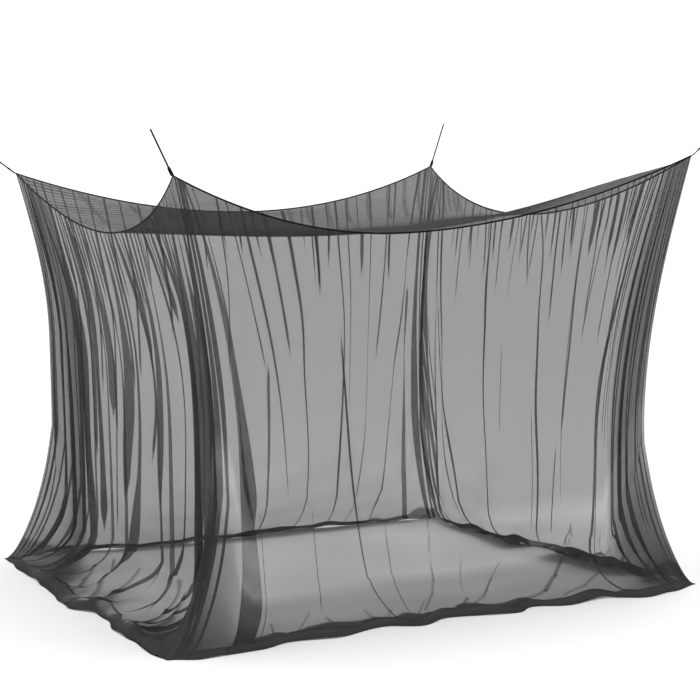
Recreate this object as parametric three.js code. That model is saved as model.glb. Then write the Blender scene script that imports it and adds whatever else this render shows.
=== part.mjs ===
// A box-shaped mosquito net for a gazebo of three metres square.
// A roof panel and four wall panels of sheer net are joined by binding tapes along the top edges.
// A cord from each top corner holds it up and outwards, so the edges and the roof sag between the
// corners, the walls are drawn in at the waist, and their spare length lies on the ground.
// Millimetres, +Z up. The origin is on the ground, under the middle of the net.

import * as THREE from 'three';

// Driving dimensions
const SIDE = 3000;            // side of the gazebo's plan, against which fold widths are measured
const NET_THICKNESS = 2;
const SEAM_GAP = 0.3;         // air between pieces that are sewn together
const TAPE_GAP = 0.7;         // the same under a tape, whose mitred ends are level on a sloping edge
const TAPE_HEIGHT = 10;
const TAPE_THICKNESS = 3;
const TAB_LENGTH = 60;
const TAB_WIDTH = 20;
const TAB_THICKNESS = 5;
const TAB_SHOULDER = 0.7;     // share of a tab's length at which it starts to narrow to the cord
const TAB_NECK = 11;          // width of a tab where the cord comes out of it
const CORD_DIAMETER = 9;
const CORD_SIDES = 8;
const CORD_STEP = 15;         // length of one straight piece of a cord
const EDGE_PROBE = 0.001;     // share of a top edge over which its direction is measured

// The walls start to swing outwards at these heights, in the middle and at a corner seam,
// and the corner's shape reaches this share of the wall's width.
const FLARE_MIDDLE = 240;
const FLARE_CORNER = 850;
const CORNER_REACH = 0.1;

// The roof hangs as a membrane: its middle and its corners are lifted above the shape that the
// four sagging edges alone would give it. A tight ridge runs into it from the right corner.
const ROOF_LIFT = 258;
const ROOF_CORNER_LIFT = 0.2;
const ROOF_RIDGE = 7.5;
const ROOF_RIDGE_POWER = 8;
const ROOF_GAP = 0.8;         // air between the roof's coarse border and the tapes' finer curve
const ROOF_STEPS = 18;

// Grid columns of a wall: no two closer than the least step, none further apart than the most.
const LEAST_STEP = 30 / SIDE;
const MOST_STEP = 220 / SIDE;
const FOLD_MARKS = [-1, -0.4, 0.4, 1];

// The top corners, counter-clockwise from above. draw is how far the seam below is pulled in at
// its waist, waist the height share where that is reached, tip the seam's end on the ground, and
// out and up give the far end of the cord from the corner.
const CORNERS = {
  near: {
    top: [-1511, -1496, 2397], draw: [210, 120], waist: 0.45,
    tip: [-1601, -1462], out: 235, up: 221,
  },
  right: {
    top: [1521, -1515, 2451], draw: [-191, 191], waist: 0.36,
    tip: [1689, -1328], out: 293, up: 272,
  },
  far: {
    top: [1487, 1507, 2427], draw: [-225, -245], waist: 0.46,
    tip: [1415, 1330], out: 333, up: 296,
  },
  left: {
    top: [-1460, 1489, 2431], draw: [138, -138], waist: 0.58,
    tip: [-1627, 1509], out: 332, up: 224,
  },
};

// The walls, each from one corner to the next. sag and low shape the top edge, lowest at the share
// low, and bow is how far the roof pulls it in. A hem row gives how far the hem lies outside the
// line between its tips and how high the bunched net stands there. A fold row gives a fold's place,
// its depth near the top and near the ground, outwards if positive, and half its width.
const WALLS = {
  front: {
    from: 'near', to: 'right', sag: 345, low: 0.44, bow: 150,
    hem: [
      { at: 0.05, out: 75, roll: 20 },
      { at: 0.15, out: 55, roll: 34 },
      { at: 0.21, out: -8, roll: 44 },
      { at: 0.28, out: 43, roll: 30 },
      { at: 0.38, out: -48, roll: 38 },
      { at: 0.44, out: 50, roll: 22 },
      { at: 0.5, out: -36, roll: 46 },
      { at: 0.62, out: 66, roll: 26 },
      { at: 0.66, out: -12, roll: 40 },
      { at: 0.72, out: 62, roll: 24 },
      { at: 0.8, out: 22, roll: 40 },
      { at: 0.87, out: 138, roll: 26 },
      { at: 0.93, out: 92, roll: 34 },
    ],
    folds: [
      { at: 0.032, upper: 26, lower: 58, width: 80 },
      { at: 0.078, upper: -22, lower: -50, width: 72 },
      { at: 0.155, upper: 14, lower: 34, width: 110 },
      { at: 0.29, upper: -10, lower: -26, width: 150 },
      { at: 0.45, upper: 8, lower: 22, width: 170 },
      { at: 0.612, upper: -14, lower: -30, width: 130 },
      { at: 0.735, upper: 14, lower: 32, width: 120 },
      { at: 0.865, upper: 18, lower: 40, width: 95 },
      { at: 0.925, upper: -24, lower: -54, width: 75 },
      { at: 0.968, upper: 24, lower: 46, width: 54 },
    ],
  },
  right: {
    from: 'right', to: 'far', sag: 323, low: 0.5, bow: 150,
    hem: [
      { at: 0.1, out: 22, roll: 36 },
      { at: 0.19, out: -50, roll: 58 },
      { at: 0.3, out: 60, roll: 30 },
      { at: 0.38, out: 0, roll: 52 },
      { at: 0.48, out: 40, roll: 28 },
      { at: 0.55, out: -90, roll: 56 },
      { at: 0.69, out: -60, roll: 30 },
      { at: 0.79, out: -60, roll: 38 },
      { at: 0.9, out: -70, roll: 24 },
    ],
    folds: [
      { at: 0.03, upper: 22, lower: 46, width: 60 },
      { at: 0.085, upper: -26, lower: -56, width: 90 },
      { at: 0.172, upper: 18, lower: 42, width: 110 },
      { at: 0.285, upper: -14, lower: -30, width: 130 },
      { at: 0.418, upper: 14, lower: 32, width: 140 },
      { at: 0.56, upper: -10, lower: -22, width: 150 },
      { at: 0.66, upper: 14, lower: 30, width: 110 },
      { at: 0.8, upper: -16, lower: -32, width: 130 },
      { at: 0.915, upper: 18, lower: 38, width: 90 },
      { at: 0.966, upper: -22, lower: -44, width: 58 },
    ],
  },
  back: {
    from: 'far', to: 'left', sag: 276, low: 0.484, bow: 150,
    hem: [
      { at: 0.1, out: 30, roll: 24 },
      { at: 0.3, out: 38, roll: 32 },
      { at: 0.42, out: 0, roll: 44 },
      { at: 0.54, out: -45, roll: 28 },
      { at: 0.65, out: -90, roll: 40 },
      { at: 0.76, out: -45, roll: 26 },
      { at: 0.88, out: 40, roll: 34 },
    ],
    folds: [
      { at: 0.028, upper: 20, lower: 44, width: 58 },
      { at: 0.07, upper: -22, lower: -48, width: 62 },
      { at: 0.155, upper: 18, lower: 36, width: 100 },
      { at: 0.24, upper: -14, lower: -30, width: 110 },
      { at: 0.34, upper: 12, lower: 28, width: 130 },
      { at: 0.48, upper: -12, lower: -28, width: 150 },
      { at: 0.62, upper: 14, lower: 32, width: 140 },
      { at: 0.75, upper: -14, lower: -30, width: 120 },
      { at: 0.87, upper: 20, lower: 44, width: 110 },
      { at: 0.945, upper: -24, lower: -52, width: 80 },
    ],
  },
  left: {
    from: 'left', to: 'near', sag: 328, low: 0.49, bow: 120,
    hem: [
      { at: 0.15, out: 22, roll: 26 },
      { at: 0.36, out: 36, roll: 40 },
      { at: 0.47, out: 80, roll: 26 },
      { at: 0.53, out: 78, roll: 36 },
      { at: 0.61, out: -12, roll: 52 },
      { at: 0.67, out: -8, roll: 34 },
      { at: 0.76, out: 30, roll: 42 },
      { at: 0.86, out: 26, roll: 28 },
      { at: 0.94, out: 32, roll: 20 },
    ],
    folds: [
      { at: 0.045, upper: 22, lower: 48, width: 72 },
      { at: 0.115, upper: -28, lower: -60, width: 84 },
      { at: 0.19, upper: 26, lower: 58, width: 88 },
      { at: 0.27, upper: -22, lower: -50, width: 90 },
      { at: 0.43, upper: 26, lower: 56, width: 110 },
      { at: 0.56, upper: -20, lower: -44, width: 110 },
      { at: 0.72, upper: 24, lower: 54, width: 100 },
      { at: 0.835, upper: -18, lower: -40, width: 100 },
      { at: 0.925, upper: 24, lower: 56, width: 85 },
      { at: 0.97, upper: -20, lower: -40, width: 48 },
    ],
  },
};

// Level sections down a wall, from the tape to the hem. fall is the share of the straight fall,
// rise the share of the flare's height that is left, spread and corner the share of the way out to
// the hem, along the wall and at its seams, fold the share of the folds' depth, and roll the share
// of the bunched hem's height.
const SECTIONS = [
  { fall: 0, rise: 1, spread: 0, corner: 0, fold: 0, roll: 0 },
  { fall: 0.06, rise: 1, spread: 0, corner: 0, fold: 0.35, roll: 0 },
  { fall: 0.17, rise: 1, spread: 0, corner: 0, fold: 0.75, roll: 0 },
  { fall: 0.34, rise: 1, spread: 0, corner: 0, fold: 0.95, roll: 0 },
  { fall: 0.55, rise: 1, spread: 0, corner: 0, fold: 1, roll: 0 },
  { fall: 0.78, rise: 1, spread: 0, corner: 0, fold: 1, roll: 0 },
  { fall: 1, rise: 1, spread: 0.01, corner: 0.01, fold: 1, roll: 0 },
  { fall: 1, rise: 0.7, spread: 0.07, corner: 0.15, fold: 0.92, roll: 0 },
  { fall: 1, rise: 0.41, spread: 0.22, corner: 0.36, fold: 0.75, roll: 0 },
  { fall: 1, rise: 0.19, spread: 0.43, corner: 0.59, fold: 0.5, roll: 0 },
  { fall: 1, rise: 0.07, spread: 0.63, corner: 0.76, fold: 0.25, roll: 0.3 },
  { fall: 1, rise: 0.02, spread: 0.79, corner: 0.87, fold: 0.1, roll: 1 },
  { fall: 1, rise: 0.005, spread: 0.87, corner: 0.92, fold: 0, roll: 0.75 },
  { fall: 1, rise: 0, spread: 0.94, corner: 0.96, fold: 0, roll: 0 },
  { fall: 1, rise: 0, spread: 1, corner: 1, fold: 0, roll: 0 },
];
const FLAT_SECTIONS = 2;      // the last sections lie flat on the ground

const UP = new THREE.Vector3(0, 0, 1);
const net = new THREE.MeshStandardMaterial({ color: 0x3a3a3c, roughness: 0.9, metalness: 0 });
const tape = new THREE.MeshStandardMaterial({ color: 0x232325, roughness: 0.8, metalness: 0 });
const cord = new THREE.MeshStandardMaterial({ color: 0x2c2c2e, roughness: 0.75, metalness: 0 });
const model = new THREE.Group();

function addPiece(name, geometry, material, group = model) {
  const piece = new THREE.Mesh(geometry, material.clone());
  piece.name = name;
  group.add(piece);
  return piece;
}

const topOf = (corner) => new THREE.Vector3(...corner.top);

function prepareWalls() {
  const list = Object.values(WALLS);
  list.forEach((wall, index) => {
    wall.next = list[(index + 1) % list.length];
    wall.previous = list[(index + list.length - 1) % list.length];
    wall.start = CORNERS[wall.from];
    wall.end = CORNERS[wall.to];
    const along = topOf(wall.end).sub(topOf(wall.start)).setZ(0).normalize();
    wall.outward = new THREE.Vector3(along.y, -along.x, 0);
    wall.columns = wallColumns(wall);
  });
}

// Columns lie on the crest, the flanks and the feet of every fold, with a few more between them.
function wallColumns(wall) {
  const marks = [0, 1];
  for (const fold of wall.folds) {
    for (const mark of FOLD_MARKS) {
      marks.push(fold.at + mark * fold.width / SIDE);
    }
  }
  marks.sort((a, b) => a - b);
  const columns = [0];
  for (const mark of marks) {
    const last = columns[columns.length - 1];
    if (mark < last + LEAST_STEP || (mark > 1 - LEAST_STEP && mark < 1)) {
      continue;
    }
    const pieces = Math.ceil((mark - last) / MOST_STEP);
    for (let piece = 1; piece <= pieces; piece += 1) {
      columns.push(last + (mark - last) * piece / pieces);
    }
  }
  return columns;
}

// A point on the sagging top edge of a wall, at the share u of its length.
function edgePoint(wall, u) {
  const side = u < wall.low ? wall.low : 1 - wall.low;
  const dip = 1 - ((u - wall.low) / side) ** 2;
  const point = topOf(wall.start).lerp(topOf(wall.end), u);
  point.addScaledVector(wall.outward, -wall.bow * 4 * u * (1 - u));
  point.z -= wall.sag * dip;
  return point;
}

// The level outward direction of a top edge. At a corner it is the mitre of the two edges there.
function edgeNormal(wall, u) {
  const square = (edge, share) => {
    const before = edgePoint(edge, Math.max(share - EDGE_PROBE, 0));
    const after = edgePoint(edge, Math.min(share + EDGE_PROBE, 1));
    const along = after.sub(before).setZ(0).normalize();
    return new THREE.Vector3(along.y, -along.x, 0);
  };
  const normal = square(wall, u);
  if (u === 0) {
    return mitre(normal, square(wall.previous, 1));
  }
  return u === 1 ? mitre(normal, square(wall.next, 0)) : normal;
}

// Moving two faces out by one unit each moves the line where they meet by this vector.
function mitre(first, second) {
  return first.clone().add(second).divideScalar(1 + first.dot(second));
}

// A smooth value between the rows of a wall's hem table, nought at both corners.
function hemValue(wall, u, column) {
  const rows = [{ at: 0, [column]: 0 }, ...wall.hem, { at: 1, [column]: 0 }];
  const next = Math.max(rows.findIndex((row) => row.at >= u), 1);
  const [before, after] = [rows[next - 1], rows[next]];
  const share = THREE.MathUtils.smoothstep(u, before.at, after.at);
  return THREE.MathUtils.lerp(before[column], after[column], share);
}

// How far a corner seam is drawn in at a height, given as a share of the corner's own height.
function seamDraw(corner, height) {
  const fallen = Math.min((1 - height) / (1 - corner.waist), 1);
  return new THREE.Vector3(...corner.draw, 0).multiplyScalar(Math.sin(fallen * Math.PI / 2));
}

// A point of the unfolded wall at the share u of its width and a section down it.
function wallPoint(wall, u, section) {
  const corner = 1 - THREE.MathUtils.smoothstep(Math.min(u, 1 - u), 0, CORNER_REACH);
  const flare = THREE.MathUtils.lerp(FLARE_MIDDLE, FLARE_CORNER, corner);
  const hung = edgePoint(wall, u);
  const top = hung.z - TAPE_GAP;
  const height = THREE.MathUtils.lerp(top, flare, section.fall) * section.rise;
  hung.add(seamDraw(wall.start, height / top).lerp(seamDraw(wall.end, height / top), u));
  const hem = new THREE.Vector3(...wall.start.tip, 0).lerp(new THREE.Vector3(...wall.end.tip, 0), u);
  hem.addScaledVector(wall.outward, hemValue(wall, u, 'out'));
  const point = hung.lerp(hem, THREE.MathUtils.lerp(section.spread, section.corner, corner));
  const floor = section.fall < 1 ? 0 : NET_THICKNESS / 2;
  return point.setZ(height + floor + section.roll * hemValue(wall, u, 'roll'));
}

// The depth of a wall's folds at the share u, for a section.
function foldDepth(wall, u, section) {
  let depth = 0;
  for (const fold of wall.folds) {
    const offset = Math.abs(u - fold.at) * SIDE / fold.width;
    if (offset < 1) {
      const crest = Math.cos(offset * Math.PI / 2) ** 2;
      depth += crest * THREE.MathUtils.lerp(fold.upper, fold.lower, section.fall);
    }
  }
  return depth * section.fold;
}

// Normals of a grid of points, towards the side from which its columns run to the right.
function gridNormals(grid) {
  const difference = (ahead, behind) => ahead.clone().sub(behind);
  return grid.map((row, j) => row.map((point, i) => {
    const down = difference((grid[j + 1] ?? row)[i], (grid[j - 1] ?? row)[i]);
    const across = difference(row[i + 1] ?? point, row[i - 1] ?? point);
    return down.cross(across).normalize();
  }));
}

// A closed sheet of net: the grid's two sides, half a thickness off along the normals, and a rim.
function sheetGeometry(grid, normals) {
  const width = grid[0].length;
  const last = grid.length - 1;
  const positions = [];
  for (const side of [0.5, -0.5]) {
    grid.forEach((row, j) => row.forEach((point, i) => {
      positions.push(...point.clone().addScaledVector(normals[j][i], side * NET_THICKNESS));
    }));
  }
  const under = grid.length * width;
  const faces = [];
  for (let j = 0; j < last; j += 1) {
    for (let i = 0; i < width - 1; i += 1) {
      const a = j * width + i;
      const b = a + 1;
      const c = b + width;
      const d = a + width;
      faces.push(a, d, b, b, d, c);
      faces.push(under + a, under + b, under + d, under + b, under + c, under + d);
    }
  }
  const rim = [];
  for (let j = 0; j < last; j += 1) {
    rim.push(j * width);
  }
  for (let i = 0; i < width - 1; i += 1) {
    rim.push(last * width + i);
  }
  for (let j = last; j > 0; j -= 1) {
    rim.push(j * width + width - 1);
  }
  for (let i = width - 1; i > 0; i -= 1) {
    rim.push(i);
  }
  rim.forEach((p, index) => {
    const q = rim[(index + 1) % rim.length];
    faces.push(p, under + p, q, q, under + p, under + q);
  });
  return indexedGeometry(positions, faces);
}

function indexedGeometry(positions, faces) {
  const geometry = new THREE.BufferGeometry();
  geometry.setAttribute('position', new THREE.Float32BufferAttribute(positions, 3));
  geometry.setIndex(faces);
  return geometry;
}

// Wall panels: the hung sheet, its folds standing off it, and seams mitred to the next panels.
function buildWalls() {
  const walls = Object.values(WALLS);
  for (const wall of walls) {
    const plain = SECTIONS.map((section) => wall.columns.map((u) => wallPoint(wall, u, section)));
    const normals = gridNormals(plain);
    wall.grid = plain.map((row, j) => row.map((point, i) => (
      point.addScaledVector(normals[j][i], foldDepth(wall, wall.columns[i], SECTIONS[j]))
    )));
    wall.normals = gridNormals(wall.grid);
    wall.normals[0] = wall.columns.map((u) => edgeNormal(wall, u));
    wall.normals.slice(-FLAT_SECTIONS).forEach((row) => row.forEach((normal) => normal.copy(UP)));
  }
  for (const wall of walls) {
    const edge = wall.columns.length - 1;
    wall.normals.slice(1).forEach((row, j) => {
      const seam = mitre(row[edge], wall.next.normals[j + 1][0]);
      row[edge] = seam;
      wall.next.normals[j + 1][0] = seam;
    });
    for (const row of wall.grid) {
      closeSeam(row[0], row[1]);
      closeSeam(row[edge], row[edge - 1]);
    }
  }
  for (const [name, wall] of Object.entries(WALLS)) {
    addPiece(`wall_${name}`, sheetGeometry(wall.grid, wall.normals), net);
  }
}

// Draws the border of a panel back from its seam line, towards the panel's own next column.
function closeSeam(border, inner) {
  border.addScaledVector(inner.clone().sub(border).normalize(), SEAM_GAP);
}

// Binding tapes: a flat band standing on each wall's top edge, mitred at the corners.
function buildTapes() {
  for (const [name, wall] of Object.entries(WALLS)) {
    const positions = [];
    const faces = [];
    const centres = wall.columns.map((u) => edgePoint(wall, u));
    const last = centres.length - 1;
    closeSeam(centres[0], centres[1]);
    closeSeam(centres[last], centres[last - 1]);
    centres.forEach((centre, i) => {
      const normal = edgeNormal(wall, wall.columns[i]).multiplyScalar(TAPE_THICKNESS / 2);
      const outside = centre.clone().add(normal);
      const inside = centre.clone().sub(normal);
      const rise = UP.clone().multiplyScalar(TAPE_HEIGHT);
      positions.push(...outside, ...outside.clone().add(rise));
      positions.push(...inside.clone().add(rise), ...inside);
    });
    for (let i = 0; i < last; i += 1) {
      for (let side = 0; side < 4; side += 1) {
        const [a, b] = [4 * i + side, 4 * i + (side + 1) % 4];
        faces.push(a, a + 4, b, b, a + 4, b + 4);
      }
    }
    const end = 4 * last;
    faces.push(0, 1, 2, 0, 2, 3);
    faces.push(end, end + 2, end + 1, end, end + 3, end + 2);
    addPiece(`tape_${name}`, indexedGeometry(positions, faces), tape);
  }
}

// Roof panel: spanned between the four sagging edges and lifted as a membrane.
function buildRoof() {
  const { front, right, back, left } = WALLS;
  const inset = TAPE_THICKNESS / 2 + ROOF_GAP;
  const border = (wall, u) => {
    const point = edgePoint(wall, u).addScaledVector(edgeNormal(wall, u), -inset);
    return point.setZ(point.z + TAPE_HEIGHT / 2);
  };
  const blend = (first, second, share) => first.clone().lerp(second, share);
  const roofPoint = (u, v) => {
    const across = blend(border(front, u), border(back, 1 - u), v);
    const along = blend(border(left, 1 - v), border(right, v), u);
    const near = blend(border(front, 0), border(front, 1), u);
    const far = blend(border(back, 1), border(back, 0), u);
    const point = across.add(along).sub(blend(near, far, v));
    const [x, y] = [(2 * u - 1) ** 2, (2 * v - 1) ** 2];
    const ridge = ROOF_RIDGE * (u * (1 - v)) ** ROOF_RIDGE_POWER;
    point.z += ROOF_LIFT * (1 - x) * (1 - y) * (1 + ROOF_CORNER_LIFT * (x + y) + ridge);
    return point;
  };
  const shares = Array.from({ length: ROOF_STEPS + 1 }, (_, index) => index / ROOF_STEPS);
  const grid = shares.map((row) => shares.map((column) => roofPoint(column, 1 - row)));
  const normals = gridNormals(grid);
  normals.forEach((row, j) => row.forEach((normal, i) => {
    if ([0, ROOF_STEPS].includes(j) || [0, ROOF_STEPS].includes(i)) {
      normal.copy(UP);
    }
  }));
  addPiece('roof_panel', sheetGeometry(grid, normals), net);
}

// Corner tabs and hanging cords, in line outwards and upwards from each corner.
function buildHangers() {
  for (const [name, corner] of Object.entries(CORNERS)) {
    const wall = Object.values(WALLS).find((one) => one.from === name);
    const outward = edgeNormal(wall, 0);
    const clear = outward.length() * TAPE_THICKNESS / 2;
    outward.normalize();
    const pull = outward.clone().multiplyScalar(corner.out).addScaledVector(UP, corner.up);
    const reach = pull.length();
    pull.normalize();
    const across = new THREE.Vector3().crossVectors(UP, pull).normalize();
    const axes = new THREE.Matrix4().makeBasis(pull, across, pull.clone().cross(across));

    const hanger = new THREE.Group();
    hanger.quaternion.setFromRotationMatrix(axes);
    hanger.position.copy(topOf(corner)).addScaledVector(UP, TAPE_HEIGHT / 2);
    hanger.position.addScaledVector(outward, clear + pull.z * TAB_THICKNESS / 2 + SEAM_GAP);
    model.add(hanger);

    addPiece(`tab_${name}`, tabGeometry(), tape, hanger);
    addPiece(`cord_${name}`, cordGeometry(TAB_LENGTH + SEAM_GAP, reach), cord, hanger);
  }
}

// A folded tape lying along +X from the origin, narrower where the cord comes out of it.
function tabGeometry() {
  const half = TAB_WIDTH / 2;
  const neck = TAB_NECK / 2;
  const shoulder = TAB_LENGTH * TAB_SHOULDER;
  const bend = (shoulder + TAB_LENGTH) / 2;
  const outline = new THREE.Shape();
  outline.moveTo(0, -half);
  outline.lineTo(shoulder, -half);
  outline.quadraticCurveTo(bend, -half, TAB_LENGTH, -neck);
  outline.lineTo(TAB_LENGTH, neck);
  outline.quadraticCurveTo(bend, half, shoulder, half);
  outline.lineTo(0, half);
  const options = { depth: TAB_THICKNESS, bevelEnabled: false, curveSegments: 4 };
  return new THREE.ExtrudeGeometry(outline, options).translate(0, 0, -TAB_THICKNESS / 2);
}

// A cord along +X between two distances from the origin.
function cordGeometry(start, end) {
  const points = [];
  for (let side = 0; side < CORD_SIDES; side += 1) {
    const angle = 2 * Math.PI * side / CORD_SIDES;
    points.push(new THREE.Vector2(Math.cos(angle), Math.sin(angle)).multiplyScalar(CORD_DIAMETER / 2));
  }
  const path = new THREE.LineCurve3(new THREE.Vector3(start, 0, 0), new THREE.Vector3(end, 0, 0));
  const steps = Math.round((end - start) / CORD_STEP);
  const options = { steps, extrudePath: path, bevelEnabled: false };
  return new THREE.ExtrudeGeometry(new THREE.Shape(points), options);
}

prepareWalls();
buildRoof();
buildWalls();
buildTapes();
buildHangers();

export default model;
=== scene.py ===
import math
from collections import namedtuple

import bmesh
import bpy
import numpy as np
from mathutils import Matrix, Vector


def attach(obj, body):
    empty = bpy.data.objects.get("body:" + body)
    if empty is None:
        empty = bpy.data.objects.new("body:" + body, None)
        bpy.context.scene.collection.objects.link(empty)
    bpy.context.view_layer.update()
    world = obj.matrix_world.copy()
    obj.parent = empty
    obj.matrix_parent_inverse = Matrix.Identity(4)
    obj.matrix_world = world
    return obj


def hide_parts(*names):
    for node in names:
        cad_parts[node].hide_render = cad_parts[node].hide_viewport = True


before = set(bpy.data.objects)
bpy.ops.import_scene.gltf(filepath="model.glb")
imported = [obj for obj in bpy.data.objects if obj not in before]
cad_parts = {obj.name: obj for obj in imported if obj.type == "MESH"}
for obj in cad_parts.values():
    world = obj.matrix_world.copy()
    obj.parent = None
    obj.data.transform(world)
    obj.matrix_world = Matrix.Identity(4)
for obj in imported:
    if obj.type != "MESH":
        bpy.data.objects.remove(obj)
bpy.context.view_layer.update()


# Camera
# A long lens, to the left of the front wall and about as high as the top corners.
# Angles in radians, distances in metres, as everywhere below.
VIEW_ROUND = math.radians(-25.28)
VIEW_DOWN = math.radians(5.285)
VIEW_ROLL = math.radians(-1.124)
VIEW_AIM = Vector((0.151, 0.045, 1.34))
VIEW_DISTANCE = 11.529
LENS_MM = 98.74
SENSOR_MM = 36

camera_data = bpy.data.cameras.new("camera")
camera_data.lens = LENS_MM
camera_data.sensor_width = SENSOR_MM
camera = bpy.data.objects.new("camera", camera_data)
camera.matrix_world = (
    Matrix.Translation(VIEW_AIM)
    @ Matrix.Rotation(VIEW_ROUND, 4, "Z")
    @ Matrix.Rotation(math.pi / 2 - VIEW_DOWN, 4, "X")
    @ Matrix.Rotation(VIEW_ROLL, 4, "Z")
    @ Matrix.Translation((0, 0, VIEW_DISTANCE))
)
bpy.context.collection.objects.link(camera)
bpy.context.scene.camera = camera


# Hanging cords
# Braided black cord of 9 mm, sewn into a tab at each top corner. It is tied off outwards and upwards,
# so it runs straight and taut. The corners also give the seams below: how far they are drawn in at
# the waist, at which share of the height, and where they end on the ground.
CORNERS = {
    "near": {
        "top": (-1.511, -1.496, 2.397), "draw": (0.210, 0.120), "waist": 0.45,
        "tip": (-1.601, -1.462), "out": 0.235, "up": 0.221,
    },
    "right": {
        "top": (1.521, -1.515, 2.451), "draw": (-0.191, 0.191), "waist": 0.36,
        "tip": (1.689, -1.328), "out": 0.293, "up": 0.272,
    },
    "far": {
        "top": (1.487, 1.507, 2.427), "draw": (-0.225, -0.245), "waist": 0.46,
        "tip": (1.415, 1.330), "out": 0.333, "up": 0.296,
    },
    "left": {
        "top": (-1.460, 1.489, 2.431), "draw": (0.138, -0.138), "waist": 0.58,
        "tip": (-1.627, 1.509), "out": 0.332, "up": 0.224,
    },
}
# Each wall's top edge: it sags to its lowest at the share low, and the roof pulls it in by bow.
TOP_EDGES = {
    "front": {"start": "near", "end": "right", "sag": 0.345, "low": 0.44, "bow": 0.150},
    "right": {"start": "right", "end": "far", "sag": 0.323, "low": 0.5, "bow": 0.150},
    "back": {"start": "far", "end": "left", "sag": 0.276, "low": 0.484, "bow": 0.150},
    "left": {"start": "left", "end": "near", "sag": 0.328, "low": 0.49, "bow": 0.120},
}
EDGE_PROBE = 0.001
SEAM_GAP = 0.0003
TAPE_HEIGHT = 0.010
TAPE_THICKNESS = 0.003
TAB_LENGTH = 0.060
TAB_THICKNESS = 0.005
CORD_DIAMETER = 0.009
CORD_SIDES = 16
CORD_STEP = 0.004
CORD_DARK = (0.004, 0.004, 0.004, 1)
CORD_LIGHT = (0.012, 0.012, 0.013, 1)
BRAID_PITCH = 0.0022
BRAID_RELIEF = 0.0004
YARN_EDGE = 0.1
YARN_ROUGHNESS = 0.8
YARN_GLOSS = 0.1
YARN_GAP = 0.25
TONE_SCALE = 40
TONE_DETAIL = 3.0
UP = np.array((0.0, 0.0, 1.0))


def top_edge(wall, share):
    """Points on a wall's top edge, at shares of its length."""
    edge = TOP_EDGES[wall]
    share = np.asarray(share, float)
    start, end = (np.array(CORNERS[edge[which]]["top"]) for which in ("start", "end"))
    points = start + (end - start) * share[..., None]
    points[..., :2] -= wall_outward(wall) * (edge["bow"] * 4 * share * (1 - share))[..., None]
    side = np.where(share < edge["low"], edge["low"], 1 - edge["low"])
    points[..., 2] -= edge["sag"] * (1 - ((share - edge["low"]) / side) ** 2)
    return points


def wall_outward(wall):
    """The level direction square to the line between a wall's two corners."""
    edge = TOP_EDGES[wall]
    start, end = (np.array(CORNERS[edge[which]]["top"][:2]) for which in ("start", "end"))
    along = (end - start) / np.linalg.norm(end - start)
    return np.array((along[1], -along[0]))


def edge_outward(wall, share):
    """The level direction square to a top edge, at shares of its length."""
    share = np.asarray(share, float)
    before = top_edge(wall, np.maximum(share - EDGE_PROBE, 0))
    along = (top_edge(wall, np.minimum(share + EDGE_PROBE, 1)) - before)[..., :2]
    along /= np.linalg.norm(along, axis=-1, keepdims=True)
    return np.stack((along[..., 1], -along[..., 0], np.zeros_like(share)), axis=-1)


def corner_outward(corner):
    """The mitre of the two top edges that meet at a corner."""
    leaving = next(wall for wall, edge in TOP_EDGES.items() if edge["start"] == corner)
    arriving = next(wall for wall, edge in TOP_EDGES.items() if edge["end"] == corner)
    first, second = edge_outward(leaving, 0.0), edge_outward(arriving, 1.0)
    return (first + second) / (1 + first @ second)


def hanger_line(corner):
    """Where a corner's tab starts, the direction of its cord, and their length together."""
    row = CORNERS[corner]
    mitre = corner_outward(corner)
    level = mitre / np.linalg.norm(mitre)
    pull = level * row["out"] + UP * row["up"]
    reach = np.linalg.norm(pull)
    pull /= reach
    clear = np.linalg.norm(mitre) * TAPE_THICKNESS / 2 + pull[2] * TAB_THICKNESS / 2 + SEAM_GAP
    foot = np.array(row["top"]) + UP * TAPE_HEIGHT / 2 + level * clear
    return foot, pull, reach


def across_hanger(pull, count):
    """The sideways and up directions square to a cord or tab, once for each point of its path."""
    side = np.cross(UP, pull)
    side /= np.linalg.norm(side)
    return np.tile(side, (count, 1)), np.tile(np.cross(pull, side), (count, 1))


def finish_piece(name, bm, material):
    """Makes an object of a bmesh, smooth, with its material, riding on the net's one body."""
    mesh = bpy.data.meshes.new(name)
    bm.to_mesh(mesh)
    bm.free()
    mesh.shade_smooth()
    mesh.materials.append(material)
    piece = bpy.data.objects.new(name, mesh)
    bpy.context.collection.objects.link(piece)
    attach(piece, "root")
    return piece


def rolled_skin(name, rings, material, cloth_size):
    """A closed body through rings of points: a grid rolled up along its rings and capped.
    cloth_size is what its texture map spans, round a ring and along the body."""
    rows, around = rings.shape[:2]
    bm = bmesh.new()
    texture_map = bm.loops.layers.uv.new("UVMap")
    bmesh.ops.create_grid(bm, x_segments=around, y_segments=rows - 1, size=1, calc_uvs=True)
    places = np.concatenate((rings, rings[:, :1]), axis=1).reshape(-1, 3)
    for vert, place in zip(bm.verts, places):
        vert.co = place
    for face in bm.faces:
        for corner in face.loops:
            corner[texture_map].uv *= Vector(cloth_size)
    bmesh.ops.remove_doubles(bm, verts=bm.verts, dist=1e-6)
    bmesh.ops.holes_fill(bm, edges=[edge for edge in bm.edges if edge.is_boundary], sides=0)
    bmesh.ops.recalc_face_normals(bm, faces=bm.faces)
    return finish_piece(name, bm, material)


def rings_along(path, sides, ups, outline):
    """Rings of an outline's points, set across a path between the given sideways and up directions."""
    across = outline[..., 0, None] * sides[:, None]
    return path[:, None] + across + outline[..., 1, None] * ups[:, None]


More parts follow.
